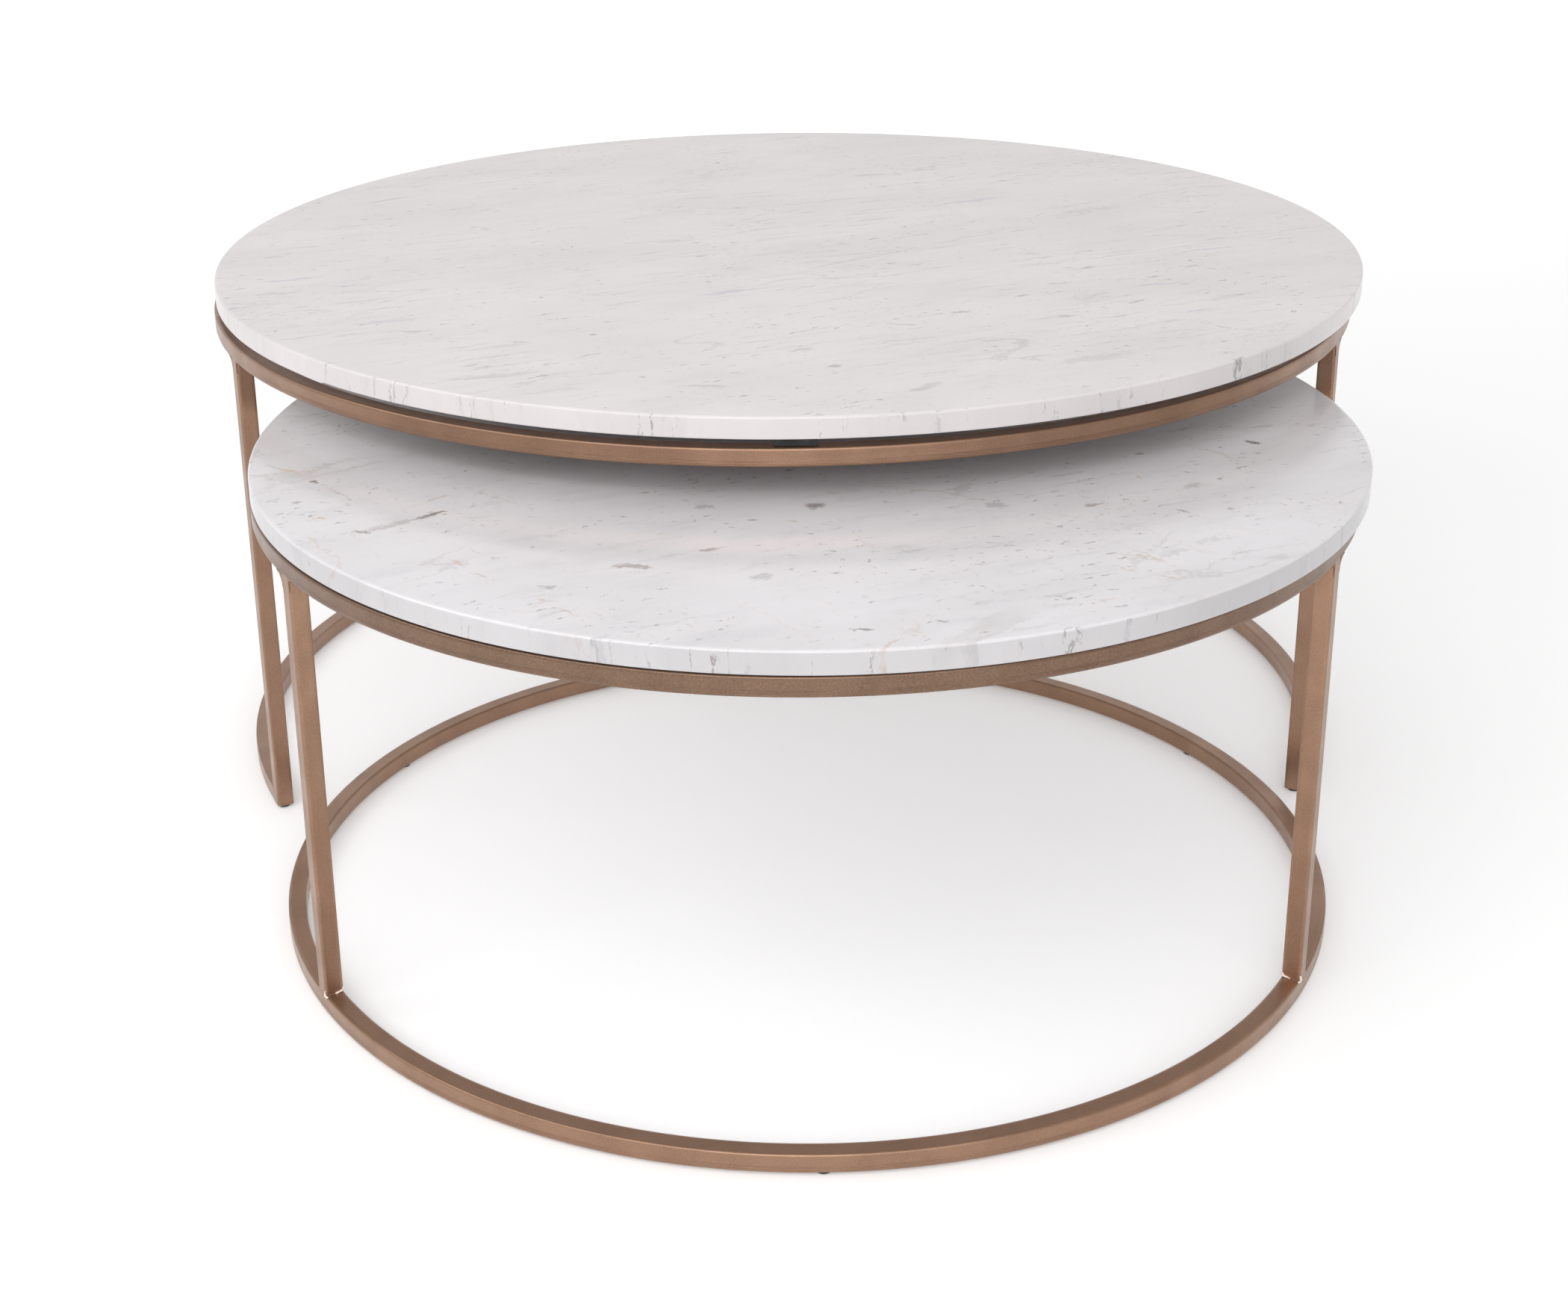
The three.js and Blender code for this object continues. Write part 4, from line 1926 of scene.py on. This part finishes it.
SMALL_MARBLE = MarbleFinish(
    name="cool_marble",
    light=(0.735, 0.715, 0.732),
    dark=(0.665, 0.645, 0.658),
    cloud_tint=(0.520, 0.510, 0.535),
    cloud=0.50,
    rough=0.09,
    # painted shade on the slab's side
    edge=0.73,
    streaks=(
        Streaks(22, 0.045, 0.0080, 0.54, 0.76, 0.13, 0.44, 0.62, Tint.ASH, 0.55, 7.10),
        Streaks(28, 0.011, 0.0040, 0.62, 0.68, 0.10, 0.44, 0.58, Tint.UMBER, 0.60, 11.30),
        Streaks(15, 0.012, 0.0048, 0.62, 0.68, 0.08, 0.46, 0.60, Tint.SLATE, 0.60, 4.60),
        Streaks(-48, 0.016, 0.0024, 0.63, 0.69, 0.08, 0.48, 0.60, Tint.RUST, 0.60, 2.90),
    ),
    veins=(
        Streaks(-46, 0.40, 0.08, 0.0, 0.005, 0.08, 0.52, 0.64, Tint.RUST, 0.35, 6.30),
        Streaks(38, 0.40, 0.08, 0.0, 0.006, 0.10, 0.50, 0.62, Tint.TAUPE, 0.24, 8.80),
    ),
    inclusions=(
        Inclusion(-24.0, -15.5, 34, 6, 42, Tint.UMBER, 0.75),
        Inclusion(-26.5, -17.5, 46, 11, 35, Tint.TAUPE, 0.45),
        Inclusion(-32.5, -9.0, 12, 4, -20, Tint.UMBER, 0.70),
        Inclusion(-30.5, -11.5, 40, 3, -47, Tint.RUST, 0.40),
        Inclusion(-33.0, -13.0, 10, 4, 33, Tint.SLATE, 0.65),
        Inclusion(-21.5, -24.0, 24, 3, -50, Tint.RUST, 0.50),
        Inclusion(-11.0, -25.0, 34, 11, -12, Tint.TAUPE, 0.75),
        Inclusion(-14.5, -32.0, 24, 3, -48, Tint.RUST, 0.55),
        Inclusion(-6.5, -22.5, 24, 6, 17, Tint.UMBER, 0.50),
        Inclusion(0.0, -15.0, 18, 14, 15, Tint.UMBER, 0.65),
        Inclusion(-7.0, -15.0, 15, 9, -5, Tint.SLATE, 0.40),
        Inclusion(-3.5, -27.0, 18, 13, 20, Tint.ASH, 0.60),
        Inclusion(2.0, -35.0, 18, 3, -6, Tint.MOSS, 0.65),
        Inclusion(6.5, -34.0, 12, 3, -6, Tint.MOSS, 0.60),
        Inclusion(11.5, -15.5, 22, 13, 12, Tint.ASH, 0.60),
        Inclusion(30.0, -4.0, 15, 7, -38, Tint.MOSS, 0.85),
        Inclusion(17.5, -15.5, 17, 8, 17, Tint.UMBER, 0.50),
        Inclusion(24.5, -12.5, 18, 12, 24, Tint.ASH, 0.55),
        Inclusion(3.5, -37.0, 30, 3, 55, Tint.RUST, 0.50),
        Inclusion(18.0, -26.5, 17, 3, -48, Tint.RUST, 0.45),
        Inclusion(-31.0, -16.0, 14, 4, -18, Tint.RUST, 0.65),
        Inclusion(-28.0, -18.5, 20, 5, -15, Tint.UMBER, 0.60),
        Inclusion(-20.0, -26.0, 17, 3, -48, Tint.RUST, 0.45),
        Inclusion(-16.0, -28.0, 14, 6, 6, Tint.SLATE, 0.55),
        Inclusion(-16.0, -30.0, 12, 4, -27, Tint.RUST, 0.50),
        Inclusion(-4.0, -17.5, 9, 5, 0, Tint.TAUPE, 0.55),
        Inclusion(14.0, -31.0, 14, 4, 0, Tint.MOSS, 0.55),
        Inclusion(20.0, -28.0, 18, 3, -24, Tint.RUST, 0.45),
        Inclusion(16.0, -31.5, 18, 3, 29, Tint.RUST, 0.40),
        Inclusion(22.0, -6.0, 12, 4, 11, Tint.SLATE, 0.55),
        Inclusion(23.0, -17.0, 12, 5, -43, Tint.TAUPE, 0.60),
        Inclusion(9.5, -12.5, 40, 14, 62, Tint.ASH, 0.35),
        Inclusion(-35.0, -6.5, 40, 4, -40, Tint.RUST, 0.45),
        Inclusion(-24.0, -12.5, 30, 4, 48, Tint.RUST, 0.35),
    ),
)


def main() -> None:
    """Builds the set, its stage and its camera, and reports each piece."""
    Camera().build()
    bronze = BronzeFinish()
    rubber = MouldedFinish("pad_rubber", (0.018, 0.018, 0.020), (0.10, 0.09, 0.08), 0.72, 0.0008)
    nylon = MouldedFinish("glide_nylon", (0.022, 0.022, 0.025), (0.08, 0.075, 0.07), 0.50, 0.0012)
    shared = {"bronze": bronze, "rubber": rubber.material(), "nylon": nylon.material()}
    LargeTable(
        "large", Body.LARGE, Slot.MARBLE_LARGE, LARGE_MARBLE, leg_angle=65.0,
        big_fillet=7.0 * MM, **shared,
    ).build()
    SmallTable(
        "small", Body.SMALL, Slot.MARBLE_SMALL, SMALL_MARBLE, leg_angle=60.5,
        big_fillet=9.0 * MM, **shared,
    ).build()
    Studio().build()


if __name__ == "__main__":
    logging.basicConfig(level=logging.INFO, format="%(message)s")
    main()
